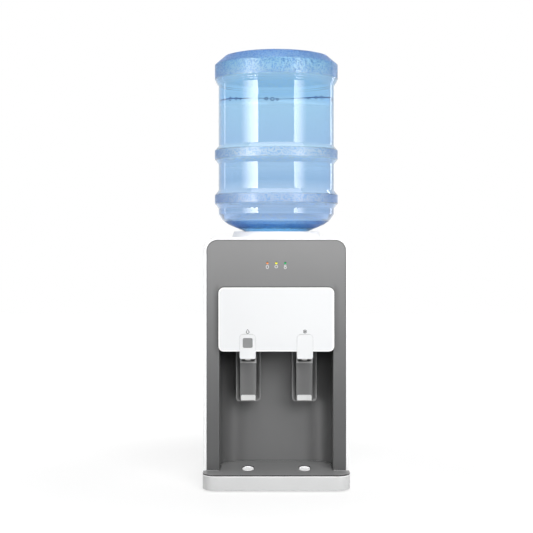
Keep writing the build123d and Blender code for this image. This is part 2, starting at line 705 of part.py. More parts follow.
def valve_stem(side, x):
    """Lift stem with a head for the lever's fork, a spring collar and a grip for the cup."""
    with BuildPart() as stem:
        with BuildSketch(facing(NOZZLE_Y)):
            with BuildLine():
                Polyline(
                    (x, STEM_FOOT_Z),
                    (x + STEM_RADIUS, STEM_FOOT_Z),
                    (x + STEM_RADIUS, STEM_COLLAR_Z),
                    (x + STEM_COLLAR_RADIUS, STEM_COLLAR_Z),
                    (x + STEM_COLLAR_RADIUS, SPRING_BOTTOM),
                    (x + STEM_RADIUS, SPRING_BOTTOM),
                    (x + STEM_RADIUS, STEM_HEAD_Z),
                    (x + STEM_HEAD_RADIUS, STEM_HEAD_Z),
                    (x + STEM_HEAD_RADIUS, STEM_HEAD_Z + STEM_HEAD_RIM),
                    (x + STEM_RADIUS, STEM_HEAD_Z + STEM_HEAD_HEIGHT),
                    (x, STEM_HEAD_Z + STEM_HEAD_HEIGHT),
                    close=True,
                )
            make_face()
        revolve(axis=upright(NOZZLE_Y, x))
    stem.part.label = f"{side}_valve_stem"
    export_step(stem.part, f"parts/{side}_valve_stem.step")


def seat_cup(side, x):
    """Silicone cup on the stem's end that closes the nozzle's bore."""
    with BuildPart() as cup:
        with BuildSketch(facing(NOZZLE_Y)):
            with BuildLine():
                Polyline(
                    (x, CUP_FOOT_Z),
                    (x + CUP_FOOT_RADIUS, CUP_FOOT_Z),
                    (x + CUP_LIP_RADIUS, CUP_LIP_Z),
                    (x + CUP_WAIST_RADIUS, CUP_WAIST_Z),
                    (x + CUP_NECK_RADIUS, CUP_TOP_Z),
                    (x + STEM_RADIUS, CUP_TOP_Z),
                    (x + STEM_RADIUS, STEM_FOOT_Z),
                    (x, STEM_FOOT_Z),
                    close=True,
                )
            make_face()
        revolve(axis=upright(NOZZLE_Y, x))
    cup.part.label = f"{side}_seat_cup"
    export_step(cup.part, f"parts/{side}_seat_cup.step")


def valve_spring(side, x):
    """Return spring between the stem's collar and the bonnet."""
    foot = SPRING_BOTTOM + SPRING_CLEAR
    rise = SPRING_TOP - SPRING_CLEAR - foot
    with BuildPart() as spring:
        with BuildLine():
            coil = Helix(rise / SPRING_TURNS, rise, SPRING_RADIUS, center=(x, NOZZLE_Y, foot))
        with BuildSketch(Plane(origin=coil @ 0, z_dir=coil % 0)):
            Rectangle(SPRING_WIRE, SPRING_WIRE)
        sweep(is_frenet=True)
    spring.part.label = f"{side}_valve_spring"
    export_step(spring.part, f"parts/{side}_valve_spring.step")


def dished_strip(x, half, front_y, back_y):
    """Plan of a strip hollowed to a cup's side, between two parallel arcs."""
    sag = PADDLE_DISH - (PADDLE_DISH**2 - half**2) ** 0.5
    with BuildLine() as strip:
        ThreePointArc((x - half, front_y - sag), (x, front_y), (x + half, front_y - sag))
        Line((x + half, front_y - sag), (x + half, back_y - sag))
        ThreePointArc((x + half, back_y - sag), (x, back_y), (x - half, back_y - sag))
        Line((x - half, back_y - sag), (x - half, front_y - sag))
    make_face(strip.edges())


def tap_lever(side, x, has_lock):
    """Paddle, two arms, stem fork and front leg moulded in one, hinged on the lever pin."""
    with BuildPart() as lever:
        with BuildSketch(level(PADDLE_BOTTOM)):
            dished_strip(x, LEVER_HALF, PADDLE_Y, PADDLE_Y + PADDLE_WALL)
        extrude(amount=ARM_TOP - PADDLE_BOTTOM)
        with BuildSketch(facing(PADDLE_Y + 2 * PADDLE_WALL)):
            with Locations((x, PADDLE_TOP + WINDOW_HEIGHT / 2)):
                RectangleRounded(2 * (LEVER_HALF - LEVER_ARM), WINDOW_HEIGHT, WINDOW_CORNER)
        extrude(amount=6 * PADDLE_WALL, mode=Mode.SUBTRACT)
        for arm_x in (x - LEVER_HALF, x + LEVER_HALF - LEVER_ARM):
            with BuildSketch(across(arm_x)):
                with BuildLine():
                    Polyline(
                        (ARM_ROOT_Y, ARM_TOP),
                        (PIN_Y, ARM_TOP),
                        (PIN_Y - ARM_NOSE, PIN_Z + ARM_NOSE),
                        (LEG_Y, LEG_TOP),
                        (LEG_Y, LEG_ROOT),
                        (LEG_Y + LEG_WALL, LEG_ROOT),
                        (ARM_HEEL_Y, ARM_BOTTOM),
                        (ARM_BEND_Y, ARM_BOTTOM),
                        (ARM_ROOT_Y, ARM_ROOT_Z),
                        close=True,
                    )
                make_face()
                with Locations((PIN_Y, PIN_Z)):
                    Circle(PIN_RADIUS + PIN_FIT, mode=Mode.SUBTRACT)
            extrude(amount=LEVER_ARM)
        with BuildSketch(level(FORK_TOP - FORK_WALL)):
            with Locations((x, NOZZLE_Y)):
                Rectangle(2 * LEVER_HALF - LEVER_ARM, FORK_DEPTH)
            with Locations((x, FORK_SLOT_Y)):
                SlotOverall(FORK_SLOT_LENGTH, 2 * STEM_RADIUS + FORK_FIT, rotation=90, mode=Mode.SUBTRACT)
        extrude(amount=FORK_WALL)
        with BuildSketch(facing(LEG_Y + LEG_WALL)):
            with Locations((x, (LEG_BOTTOM + LEG_TOP) / 2)):
                Rectangle(2 * LEVER_HALF - LEVER_ARM, LEG_TOP - LEG_BOTTOM)
            if has_lock:
                with Locations((x, BUTTON_Z)):
                    Circle(LOCK_SHANK + LOCK_FIT, mode=Mode.SUBTRACT)
        extrude(amount=LEG_WALL)
    lever.part.label = f"{side}_lever"
    export_step(lever.part, f"parts/{side}_lever.step")


def lever_pad(side, x, has_lock):
    """White finger pad clipped on the lever's leg, flush in the cover's notch."""
    with BuildPart() as pad:
        with BuildSketch(facing(LEG_Y)):
            with Locations((x, (PAD_BOTTOM + PAD_TOP) / 2)):
                outline = Rectangle(2 * PAD_HALF, PAD_TOP - PAD_BOTTOM)
            fillet(outline.vertices().group_by(Axis.Y)[-1], PAD_UPPER_CORNER)
            fillet(outline.vertices().group_by(Axis.Y)[0], PAD_LOWER_CORNER)
        extrude(amount=PAD_WALL)
        fillet(pad.edges().group_by(Axis.Y)[0], PAD_EDGE)
        if has_lock:
            with BuildSketch(facing(LEG_Y)):
                with Locations((x, BUTTON_Z)):
                    RectangleRounded(LOCK_POCKET, LOCK_POCKET, POCKET_CORNER)
            extrude(amount=PAD_WALL, mode=Mode.SUBTRACT)
    pad.part.label = f"{side}_lever_pad"
    export_step(pad.part, f"parts/{side}_lever_pad.step")


def bumper(side, x):
    """White insert on the paddle's foot, where the cup pushes."""
    with BuildPart() as insert:
        with BuildSketch(level(PADDLE_BOTTOM)):
            dished_strip(x, INSERT_HALF, PADDLE_Y - INSERT_PROUD, PADDLE_Y)
        extrude(amount=INSERT_HEIGHT)
        upper = insert.edges().filter_by(Axis.Y).group_by(Axis.Z)[-1]
        fillet(upper, INSERT_CORNER)
    insert.part.label = f"{side}_bumper"
    export_step(insert.part, f"parts/{side}_bumper.step")


for tap_side, tap_x, barb, locked in (("left", -TAP_X, 1, True), ("right", TAP_X, -1, False)):
    tap_housing(tap_side, tap_x)
    faucet_body(tap_side, tap_x, barb)
    bonnet(tap_side, tap_x)
    valve_stem(tap_side, tap_x)
    seat_cup(tap_side, tap_x)
    valve_spring(tap_side, tap_x)
    tap_lever(tap_side, tap_x, locked)
    lever_pad(tap_side, tap_x, locked)
    bumper(tap_side, tap_x)

# Hexagon nuts that clamp the shanks to the back of the recess wall.
NUT_RADIUS = 9.0
NUT_SIDES = 6
NUT_WALL = 1.4
NUT_FIT = 0.02

with BuildPart() as shank_nuts:
    with BuildSketch(facing(RECESS_BACK_Y + LINER_WALL)):
        with Locations((0, SHANK_Z)):
            with GridLocations(2 * TAP_X, 1, 2, 1):
                RegularPolygon(NUT_RADIUS, NUT_SIDES)
                Circle(SHANK_RADIUS + NUT_FIT, mode=Mode.SUBTRACT)
    extrude(amount=-NUT_WALL)
shank_nuts.part.label = "shank_nuts"
export_step(shank_nuts.part, "parts/shank_nuts.step")

# Steel pins through the bonnets' ears and the levers' arms.
PIN_EDGE = 0.3

with BuildPart() as lever_pins:
    for pin_x in (-TAP_X, TAP_X):
        with BuildSketch(across(pin_x - LEVER_HALF)):
            with Locations((PIN_Y, PIN_Z)):
                Circle(PIN_RADIUS)
        extrude(amount=2 * LEVER_HALF)
    chamfer(lever_pins.edges().filter_by(GeomType.CIRCLE), PIN_EDGE)
lever_pins.part.label = "lever_pins"
export_step(lever_pins.part, "parts/lever_pins.step")

# Child-lock button: a square cap with a shank through the left lever's leg.
BUTTON_CORNER = 2.7
BUTTON_EDGE = 0.7
CAP_FOOT_Y = PAD_Y - LOCK_PROUD + LOCK_WALL
SHANK_TAIL_Y = LEG_Y + LEG_WALL + 2.0

with BuildPart() as lock_button:
    with BuildSketch(facing(CAP_FOOT_Y)):
        with Locations((-TAP_X, BUTTON_Z)):
            RectangleRounded(BUTTON_SIDE, BUTTON_SIDE, BUTTON_CORNER)
    extrude(amount=LOCK_WALL)
    fillet(lock_button.edges().group_by(Axis.Y)[0], BUTTON_EDGE)
    with BuildSketch(facing(CAP_FOOT_Y)):
        with Locations((-TAP_X, BUTTON_Z)):
            Circle(LOCK_SHANK)
    extrude(amount=-(SHANK_TAIL_Y - CAP_FOOT_Y))
lock_button.part.label = "lock_button"
export_step(lock_button.part, "parts/lock_button.step")


# ---------------------------------------------------------------- bottle and seat

SEAT_CONE_SLOPE = 0.5
CAP_RADIUS = NECK_RADIUS + 2.2
PROBE_RADIUS = 7.0
WELL_BORE = PROBE_RADIUS + 0.8
WELL_TOP = 482.0
RING_CENTRES = (697.0, 600.5)
RING_HALF_FLAT = 9.5
RING_CHAMFER = 10.5
BAND_TOP = 893.0
BAND_BOTTOM = 861.0
BAND_BEVEL = 9.0
DISH_RADIUS = 84.0
DISH_DEPTH = 12.0
DISH_EDGE_DEPTH = 10.0
STAND_INNER = 97.0
STAND_OUTER = 112.0
SHOULDER_FOOT = 68.0
SHOULDER = ((BOTTLE_WAIST - 0.5, 568.0), (117.5, 555.5), (104.0, 546.0), (SHOULDER_FOOT, COLLAR_TOP))
NECK_FLARE = ((38.0, COLLAR_TOP - 15.0), (NECK_RADIUS, COLLAR_TOP - 22.0), (NECK_RADIUS, NECK_END))
BOTTLE_BLEND = 2.6


def ring_points(centre):
    """One hoop of the bottle: chamfer out, flat band, chamfer in, from the top down."""
    return [
        (BOTTLE_WAIST, centre + RING_HALF_FLAT + RING_CHAMFER),
        (BOTTLE_RADIUS, centre + RING_HALF_FLAT),
        (BOTTLE_RADIUS, centre - RING_HALF_FLAT),
        (BOTTLE_WAIST, centre - RING_HALF_FLAT - RING_CHAMFER),
    ]


# Bottle, upside down: dished base on top, hoops, shoulder, and the neck below.
bottle_points = [(0.0, BOTTLE_TOP - DISH_DEPTH), (DISH_RADIUS, BOTTLE_TOP - DISH_EDGE_DEPTH)]
bottle_points += [(STAND_INNER, BOTTLE_TOP), (STAND_OUTER, BOTTLE_TOP), (BOTTLE_RADIUS, BAND_TOP)]
bottle_points += [(BOTTLE_RADIUS, BAND_BOTTOM), (BOTTLE_WAIST, BAND_BOTTOM - BAND_BEVEL)]
for ring_centre in RING_CENTRES:
    bottle_points += ring_points(ring_centre)
bottle_points += [*SHOULDER, *NECK_FLARE]

with BuildPart() as bottle:
    with BuildSketch(facing(BOTTLE_Y)):
        with BuildLine():
            FilletPolyline(*bottle_points, radius=BOTTLE_BLEND)
            offset(amount=BOTTLE_WALL, side=Side.RIGHT)
        make_face()
    revolve(axis=upright())
bottle.part.label = "bottle"
export_step(bottle.part, "parts/bottle.step")

# Non-spill cap on the neck, with a well that the feed probe enters.
CAP_END_Z = NECK_END - 2.5
CAP_SKIRT_Z = NECK_END + 24.0
CAP_BORE = NECK_RADIUS + 0.02
WELL_RADIUS = WELL_BORE + 1.6

with BuildPart() as bottle_cap:
    with BuildSketch(facing(BOTTLE_Y)):
        with BuildLine():
            Polyline(
                (WELL_BORE, CAP_END_Z),
                (CAP_RADIUS, CAP_END_Z),
                (CAP_RADIUS, CAP_SKIRT_Z),
                (CAP_BORE, CAP_SKIRT_Z),
                (CAP_BORE, NECK_END),
                (WELL_RADIUS, NECK_END),
                (WELL_RADIUS, WELL_TOP),
                (WELL_BORE, WELL_TOP),
                close=True,
            )
        make_face()
    revolve(axis=upright())
bottle_cap.part.label = "bottle_cap"
export_step(bottle_cap.part, "parts/bottle_cap.step")

# Bottle seat: tapered collar, a ring that bears the shoulder, and a throat for the neck.
SEAT_RING_RADIUS = 52.0
SEAT_RING_FIT = 0.4
SEAT_RING_Z = COLLAR_TOP - (SHOULDER_FOOT - SEAT_RING_RADIUS) * SEAT_CONE_SLOPE - SEAT_RING_FIT
COLLAR_PROFILE = (
    (COLLAR_BASE_RADIUS, BODY_TOP),
    (COLLAR_BASE_RADIUS - 1.2, BODY_TOP + 4.0),
    (COLLAR_TOP_RADIUS, COLLAR_TOP - 1.5),
    (COLLAR_TOP_RADIUS - 1.5, COLLAR_TOP),
    (COLLAR_TOP_RADIUS - 4.0, COLLAR_TOP),
    (SEAT_OPENING - 4.0, BODY_TOP + 1.0),
)
RING_PROFILE = (
    (SEAT_RING_RADIUS + 4.0, BODY_TOP - 2.0),
    (SEAT_RING_RADIUS + 1.0, SEAT_RING_Z - 0.6),
    (SEAT_RING_RADIUS - 1.0, SEAT_RING_Z - 0.6),
    (THROAT_RADIUS + 6.0, BODY_TOP - 8.0),
)
THROAT_PROFILE = (
    (THROAT_RADIUS, BODY_TOP - 12.0),
    (THROAT_RADIUS, THROAT_BOTTOM),
    (THROAT_RADIUS + THROAT_WALL, THROAT_BOTTOM),
    (THROAT_RADIUS + THROAT_WALL, BODY_TOP - 14.0),
)
UNDERSIDE_PROFILE = (
    (THROAT_RADIUS + 8.0, BODY_TOP - 11.0),
    (SEAT_OPENING - 1.0, BODY_TOP - 4.0),
    (SEAT_OPENING - 1.0, BODY_TOP),
)

with BuildPart() as bottle_seat:
    with BuildSketch(facing(BOTTLE_Y)):
        with BuildLine():
            Polyline(*COLLAR_PROFILE, *RING_PROFILE, *THROAT_PROFILE, *UNDERSIDE_PROFILE, close=True)
        make_face()
    revolve(axis=upright())
bottle_seat.part.label = "bottle_seat"
export_step(bottle_seat.part, "parts/bottle_seat.step")

# Feed probe: a spiked tube on a holed disc that pierces the cap's well.
DISC_WALL = 3.0
DISC_HOLE = 7.0
DISC_HOLES = 6
DISC_PITCH_RADIUS = 22.0
PROBE_TOP = WELL_TOP - 6.0
PROBE_TIP = 4.0
PROBE_BORE = PROBE_RADIUS - 3.4
PROBE_BORE_TOP = WELL_TOP - 14.0
PROBE_SLOT_Z = WELL_TOP - 22.0
PROBE_SLOT_LENGTH = 14.0
PROBE_SLOT_WIDTH = 5.0

with BuildPart() as feed_probe:
    with BuildSketch(level(THROAT_BOTTOM)):
        with Locations((0, BOTTLE_Y)):
            Circle(THROAT_RADIUS)
            with PolarLocations(DISC_PITCH_RADIUS, DISC_HOLES):
                Circle(DISC_HOLE, mode=Mode.SUBTRACT)
    extrude(amount=DISC_WALL)
    with BuildSketch(level(THROAT_BOTTOM)):
        with Locations((0, BOTTLE_Y)):
            Circle(PROBE_RADIUS)
    extrude(amount=PROBE_TOP - THROAT_BOTTOM)
    chamfer(feed_probe.edges().group_by(Axis.Z)[-1], PROBE_TIP)
    with BuildSketch(level(THROAT_BOTTOM)):
        with Locations((0, BOTTLE_Y)):
            Circle(PROBE_BORE)
    extrude(amount=PROBE_BORE_TOP - THROAT_BOTTOM, mode=Mode.SUBTRACT)
    with BuildSketch(facing(BOTTLE_Y + 2 * PROBE_RADIUS)):
        with Locations((0, PROBE_SLOT_Z)):
            SlotOverall(PROBE_SLOT_LENGTH, PROBE_SLOT_WIDTH, rotation=90)
    extrude(amount=4 * PROBE_RADIUS, mode=Mode.SUBTRACT)
feed_probe.part.label = "feed_probe"
export_step(feed_probe.part, "parts/feed_probe.step")


# ---------------------------------------------------------------- water path

RESERVOIR_WALL = 2.5
TRANSFER_RADIUS = 8.0
TRANSFER_Y = TANK_Y
INLET_RIM = 3.0
SPOUT_DROP = 12.0

# Ambient reservoir under the throat, with an outlet to the left tap and one to the tank.
with BuildPart() as reservoir:
    with BuildSketch(level(RESERVOIR_BOTTOM)):
        with Locations((0, BOTTLE_Y)):
            Circle(RESERVOIR_RADIUS)
    extrude(amount=THROAT_BOTTOM - RESERVOIR_BOTTOM)
    with BuildSketch(level(RESERVOIR_BOTTOM + RESERVOIR_WALL)):
        with Locations((0, BOTTLE_Y)):
            Circle(RESERVOIR_RADIUS - RESERVOIR_WALL)
    extrude(amount=THROAT_BOTTOM - RESERVOIR_BOTTOM - 2 * RESERVOIR_WALL, mode=Mode.SUBTRACT)
    with BuildSketch(level(THROAT_BOTTOM)):
        with Locations((0, BOTTLE_Y)):
            Circle(THROAT_RADIUS - INLET_RIM)
    extrude(amount=-RESERVOIR_WALL, mode=Mode.SUBTRACT)
    with BuildSketch(level(RESERVOIR_BOTTOM + RESERVOIR_WALL)):
        with Locations((-TAP_X, TUBE_Y)):
            Circle(BARB_RADIUS)
    extrude(amount=-SPOUT_DROP)
    with BuildSketch(level(RESERVOIR_BOTTOM + RESERVOIR_WALL)):
        with Locations((-TAP_X, TUBE_Y)):
            Circle(BARB_BORE)
        with Locations((0, TRANSFER_Y)):
            Circle(TRANSFER_RADIUS)
    extrude(amount=-(SPOUT_DROP + RESERVOIR_WALL), mode=Mode.SUBTRACT)
reservoir.part.label = "reservoir"
export_step(reservoir.part, "parts/reservoir.step")

# Cold tank: closed steel can with an inlet hole on top and two outlet spouts below.
TANK_EDGE = 5.0
TANK_WALL = 1.5

with BuildPart() as cold_tank:
    with BuildSketch(level(TANK_BOTTOM)):
        with Locations((0, TANK_Y)):
            Circle(TANK_RADIUS)
    extrude(amount=TANK_TOP - TANK_BOTTOM)
    fillet(cold_tank.edges(), TANK_EDGE)
    with BuildSketch(level(TANK_BOTTOM - SPOUT_DROP)):
        with Locations((0, TANK_Y), (DRAIN_OUT_X, TANK_Y)):
            Circle(BARB_RADIUS)
    extrude(amount=SPOUT_DROP + TANK_WALL)
    with BuildSketch(level(TANK_BOTTOM + TANK_WALL)):
        with Locations((0, TANK_Y)):
            Circle(TANK_RADIUS - TANK_WALL)
    extrude(amount=TANK_TOP - TANK_BOTTOM - 2 * TANK_WALL, mode=Mode.SUBTRACT)
    with BuildSketch(level(TANK_BOTTOM - SPOUT_DROP)):
        with Locations((0, TANK_Y), (DRAIN_OUT_X, TANK_Y)):
            Circle(BARB_BORE)
    extrude(amount=SPOUT_DROP + 2 * TANK_WALL, mode=Mode.SUBTRACT)
    with BuildSketch(level(TANK_TOP)):
        with Locations((0, TRANSFER_Y)):
            Circle(TRANSFER_RADIUS)
    extrude(amount=-2 * TANK_WALL, mode=Mode.SUBTRACT)
cold_tank.part.label = "cold_tank"
export_step(cold_tank.part, "parts/cold_tank.step")

# Transfer pipe from the reservoir into the cold tank, with a baffle at its foot.
PIPE_FOOT_Z = TANK_TOP - 20.0
PIPE_TOP_Z = RESERVOIR_BOTTOM + RESERVOIR_WALL
PIPE_FIT = 0.02
PIPE_WALL = 2.0
BAFFLE_GAP = 6.0
BAFFLE_WALL = 1.5

with BuildPart() as transfer_pipe:
    with BuildSketch(level(PIPE_FOOT_Z)):
        with Locations((0, TRANSFER_Y)):
            Circle(TANK_RADIUS - BAFFLE_GAP)
    extrude(amount=BAFFLE_WALL)
    with BuildSketch(level(PIPE_FOOT_Z)):
        with Locations((0, TRANSFER_Y)):
            Circle(TRANSFER_RADIUS - PIPE_FIT)
    extrude(amount=PIPE_TOP_Z - PIPE_FOOT_Z)
    with BuildSketch(level(PIPE_FOOT_Z)):
        with Locations((0, TRANSFER_Y)):
            Circle(TRANSFER_RADIUS - PIPE_WALL)
    extrude(amount=PIPE_TOP_Z - PIPE_FOOT_Z, mode=Mode.SUBTRACT)
transfer_pipe.part.label = "transfer_pipe"
export_step(transfer_pipe.part, "parts/transfer_pipe.step")

# Foam jacket that boxes in the cold tank.
FOAM_BACK = TANK_Y + FOAM_HALF
BLOCK_SIDE = 42.0
HOSE_CLEAR = 1.0
PIPE_CLEAR = 0.4

with BuildPart() as foam_jacket:
    with BuildSketch(level(FOAM_BOTTOM)):
        with Locations((0, TANK_Y)):
            Rectangle(2 * FOAM_HALF, 2 * FOAM_HALF)
    extrude(amount=FOAM_TOP - FOAM_BOTTOM)
    with BuildSketch(level(TANK_BOTTOM)):
        with Locations((0, TANK_Y)):
            Circle(TANK_RADIUS)
    extrude(amount=TANK_TOP - TANK_BOTTOM, mode=Mode.SUBTRACT)
    with BuildSketch(level(FOAM_BOTTOM)):
        with Locations((0, TANK_Y), (DRAIN_OUT_X, TANK_Y)):
            Circle(TUBE_RADIUS + HOSE_CLEAR)
    extrude(amount=TANK_BOTTOM - FOAM_BOTTOM, mode=Mode.SUBTRACT)
    with BuildSketch(level(TANK_TOP)):
        with Locations((0, TRANSFER_Y)):
            Circle(TRANSFER_RADIUS + PIPE_CLEAR)
    extrude(amount=FOAM_TOP - TANK_TOP, mode=Mode.SUBTRACT)
    with BuildSketch(facing(FOAM_BACK)):
        with Locations((0, PELTIER_Z)):
            Rectangle(BLOCK_SIDE, BLOCK_SIDE)
    extrude(amount=FOAM_BACK - TANK_Y, mode=Mode.SUBTRACT)
foam_jacket.part.label = "foam_jacket"
export_step(foam_jacket.part, "parts/foam_jacket.step")

# Cold block: carries heat from the tank's wall to the thermoelectric module.
BLOCK_FIT = 0.05

with BuildPart() as cold_block:
    with BuildSketch(facing(FOAM_BACK)):
        with Locations((0, PELTIER_Z)):
            Rectangle(BLOCK_SIDE, BLOCK_SIDE)
    extrude(amount=FOAM_BACK - TANK_Y)
    with BuildSketch(level(TANK_BOTTOM)):
        with Locations((0, TANK_Y)):
            Circle(TANK_RADIUS + BLOCK_FIT)
    extrude(amount=TANK_TOP - TANK_BOTTOM, mode=Mode.SUBTRACT)
cold_block.part.label = "cold_block"
export_step(cold_block.part, "parts/cold_block.step")

MODULE_SIDE = 40.0
MODULE_WALL = 4.0
SINK_BASE = 4.0
SINK_FIN = 12.0
SINK_BACK = FOAM_BACK + MODULE_WALL + SINK_BASE + SINK_FIN
FIN_COUNT = 12
FIN_WALL = 2.0

with BuildPart() as cooling_module:
    with BuildSketch(facing(FOAM_BACK + MODULE_WALL)):
        with Locations((0, PELTIER_Z)):
            Rectangle(MODULE_SIDE, MODULE_SIDE)
    extrude(amount=MODULE_WALL)
cooling_module.part.label = "cooling_module"
export_step(cooling_module.part, "parts/cooling_module.step")

# Finned heat sink on the module's hot side.
with BuildPart() as heat_sink:
    with BuildSketch(facing(FOAM_BACK + MODULE_WALL + SINK_BASE)):
        with Locations((0, PELTIER_Z)):
            Rectangle(FAN_SIDE, FAN_SIDE)
    extrude(amount=SINK_BASE)
    with BuildSketch(facing(SINK_BACK)):
        with Locations((0, PELTIER_Z)):
            with GridLocations((FAN_SIDE - FIN_WALL) / (FIN_COUNT - 1), 1, FIN_COUNT, 1):
                Rectangle(FIN_WALL, FAN_SIDE)
    extrude(amount=SINK_FIN)
heat_sink.part.label = "heat_sink"
export_step(heat_sink.part, "parts/heat_sink.step")

# Axial fan: square frame with a ring and struts, and a bladed rotor on its spindle.
FAN_BORE = FAN_SIDE / 2 - 2.5
HUB_RADIUS = 14.0
SPINDLE_RADIUS = 2.0
STRUT_WALL = 3.0
STRUT_WIDTH = 4.0
STRUT_LAP = 1.0
FRAME_CORNER = 4.0
SPINDLE_GAP = 2.0
BLADE_COUNT = 7
BLADE_WALL = 1.4
BLADE_CHORD = 13.0
BLADE_PITCH = 52.0
BLADE_ROOT = 2.0
BLADE_GAP = 1.2
FAN_BACK = SINK_BACK + FAN_DEPTH

with BuildPart() as fan_frame:
    with BuildSketch(facing(FAN_BACK)):
        with Locations((0, PELTIER_Z)):
            RectangleRounded(FAN_SIDE, FAN_SIDE, FRAME_CORNER)
            Circle(FAN_BORE, mode=Mode.SUBTRACT)
    extrude(amount=FAN_DEPTH)
    with BuildSketch(facing(FAN_BACK)):
        with Locations((0, PELTIER_Z)):
            Circle(HUB_RADIUS)
            Rectangle(2 * FAN_BORE + STRUT_LAP, STRUT_WIDTH)
            Rectangle(STRUT_WIDTH, 2 * FAN_BORE + STRUT_LAP)
    extrude(amount=STRUT_WALL)
    with BuildSketch(facing(FAN_BACK - STRUT_WALL)):
        with Locations((0, PELTIER_Z)):
            Circle(SPINDLE_RADIUS)
    extrude(amount=FAN_DEPTH - STRUT_WALL - SPINDLE_GAP)
fan_frame.part.label = "fan_frame"
export_step(fan_frame.part, "parts/fan_frame.step")

ROTOR_BACK = FAN_BACK - STRUT_WALL - 0.6
ROTOR_DEPTH = FAN_DEPTH - STRUT_WALL - 1.0
ROTOR_FIT = 0.06

with BuildPart() as fan_rotor:
    with BuildSketch(facing(ROTOR_BACK)):
        with Locations((0, PELTIER_Z)):
            Circle(HUB_RADIUS)
    extrude(amount=ROTOR_DEPTH)
    for blade in range(BLADE_COUNT):
        turn = radians(360 / BLADE_COUNT * blade)
        hub_plane = Plane(
            origin=(0, ROTOR_BACK - ROTOR_DEPTH / 2, PELTIER_Z),
            x_dir=(0, 1, 0),
            z_dir=(cos(turn), 0, sin(turn)),
        )
        with BuildSketch(hub_plane.offset(HUB_RADIUS - BLADE_ROOT)):
            Rectangle(BLADE_WALL, BLADE_CHORD, rotation=BLADE_PITCH)
        extrude(amount=FAN_BORE - BLADE_GAP - HUB_RADIUS + BLADE_ROOT)
    with BuildSketch(facing(FAN_BACK)):
        with Locations((0, PELTIER_Z)):
            Circle(SPINDLE_RADIUS + ROTOR_FIT)
    extrude(amount=FAN_DEPTH, mode=Mode.SUBTRACT)
fan_rotor.part.label = "fan_rotor"
export_step(fan_rotor.part, "parts/fan_rotor.step")


TUBE_BEND = 14.0
DRAIN_BEND = 24.0
TUBE_GAP = 0.5
TUBE_LOW_Z = FOAM_BOTTOM - 16.0
DRAIN_TUBE_END_Y = REAR_Y - 22.0


def hose(label, *points, bend=TUBE_BEND):
    """Hollow silicone tube along straight runs joined by tangent arcs."""
    with BuildPart() as tube:
        with BuildLine() as path:
            if len(points) == 2:
                Line(*points)
            else:
                FilletPolyline(*points, radius=bend)
        with BuildSketch(Plane(origin=path.line @ 0, z_dir=path.line % 0)):
            Circle(TUBE_RADIUS)
            Circle(TUBE_BORE, mode=Mode.SUBTRACT)
        sweep()
    tube.part.label = label
    export_step(tube.part, f"parts/{label}.step")


hose(
    "ambient_tube",
    (-TAP_X, TUBE_Y, RESERVOIR_BOTTOM - TUBE_GAP),
    (-TAP_X, TUBE_Y, SHANK_Z + SHANK_RADIUS + TUBE_GAP),
)
hose(
    "cold_tube",
    (TAP_X, TUBE_Y, SHANK_Z - SHANK_RADIUS - TUBE_GAP),
    (TAP_X, TUBE_Y, TUBE_LOW_Z),
    (0, TANK_Y, TUBE_LOW_Z),
    (0, TANK_Y, TANK_BOTTOM - TUBE_GAP),
)
hose(
    "drain_tube",
    (DRAIN_OUT_X, TANK_Y, TANK_BOTTOM - TUBE_GAP),
    (DRAIN_OUT_X, TANK_Y, DRAIN_OUT_Z),
    (DRAIN_OUT_X, DRAIN_TUBE_END_Y, DRAIN_OUT_Z),
    bend=DRAIN_BEND,
)

# Drain spigot held in the rear panel, and its screw cap.
SPIGOT_RADIUS = 8.0
SPIGOT_END = BACK_Y - 3.0
SPIGOT_ROOT_Y = REAR_Y - 12.0
SPIGOT_FLANGE = 3.0
SPIGOT_BARB = 20.0
PLUG_RADIUS = SPIGOT_RADIUS + 3.0
PLUG_DEPTH = 7.0
PLUG_END_WALL = 2.6
PLUG_FIT = 0.08
KNURL_COUNT = 12
KNURL_RADIUS = 0.8

with BuildPart() as drain_spigot:
    with BuildSketch(facing(REAR_Y - REAR_WALL)):
        with Locations((DRAIN_OUT_X, DRAIN_OUT_Z)):
            Circle(DRAIN_HOLE + SPIGOT_FLANGE)
    extrude(amount=SPIGOT_FLANGE)
    with BuildSketch(facing(SPIGOT_END)):
        with Locations((DRAIN_OUT_X, DRAIN_OUT_Z)):
            Circle(SPIGOT_RADIUS)
    extrude(amount=SPIGOT_END - SPIGOT_ROOT_Y)
    with BuildSketch(facing(SPIGOT_ROOT_Y)):
        with Locations((DRAIN_OUT_X, DRAIN_OUT_Z)):
            Circle(BARB_RADIUS)
    extrude(amount=SPIGOT_BARB)
    with BuildSketch(facing(SPIGOT_END)):
        with Locations((DRAIN_OUT_X, DRAIN_OUT_Z)):
            Circle(BARB_BORE)
    extrude(amount=SPIGOT_END - SPIGOT_ROOT_Y + SPIGOT_BARB, mode=Mode.SUBTRACT)
drain_spigot.part.label = "drain_spigot"
export_step(drain_spigot.part, "parts/drain_spigot.step")

with BuildPart() as drain_cap:
    with BuildSketch(facing(BACK_Y)):
        with Locations((DRAIN_OUT_X, DRAIN_OUT_Z)):
            Circle(PLUG_RADIUS)
            with PolarLocations(PLUG_RADIUS, KNURL_COUNT):
                Circle(KNURL_RADIUS)
    extrude(amount=PLUG_DEPTH)
    with BuildSketch(facing(BACK_Y - PLUG_END_WALL)):
        with Locations((DRAIN_OUT_X, DRAIN_OUT_Z)):
            Circle(SPIGOT_RADIUS + PLUG_FIT)
    extrude(amount=PLUG_DEPTH, mode=Mode.SUBTRACT)
drain_cap.part.label = "drain_cap"
export_step(drain_cap.part, "parts/drain_cap.step")


# ---------------------------------------------------------------- electrics

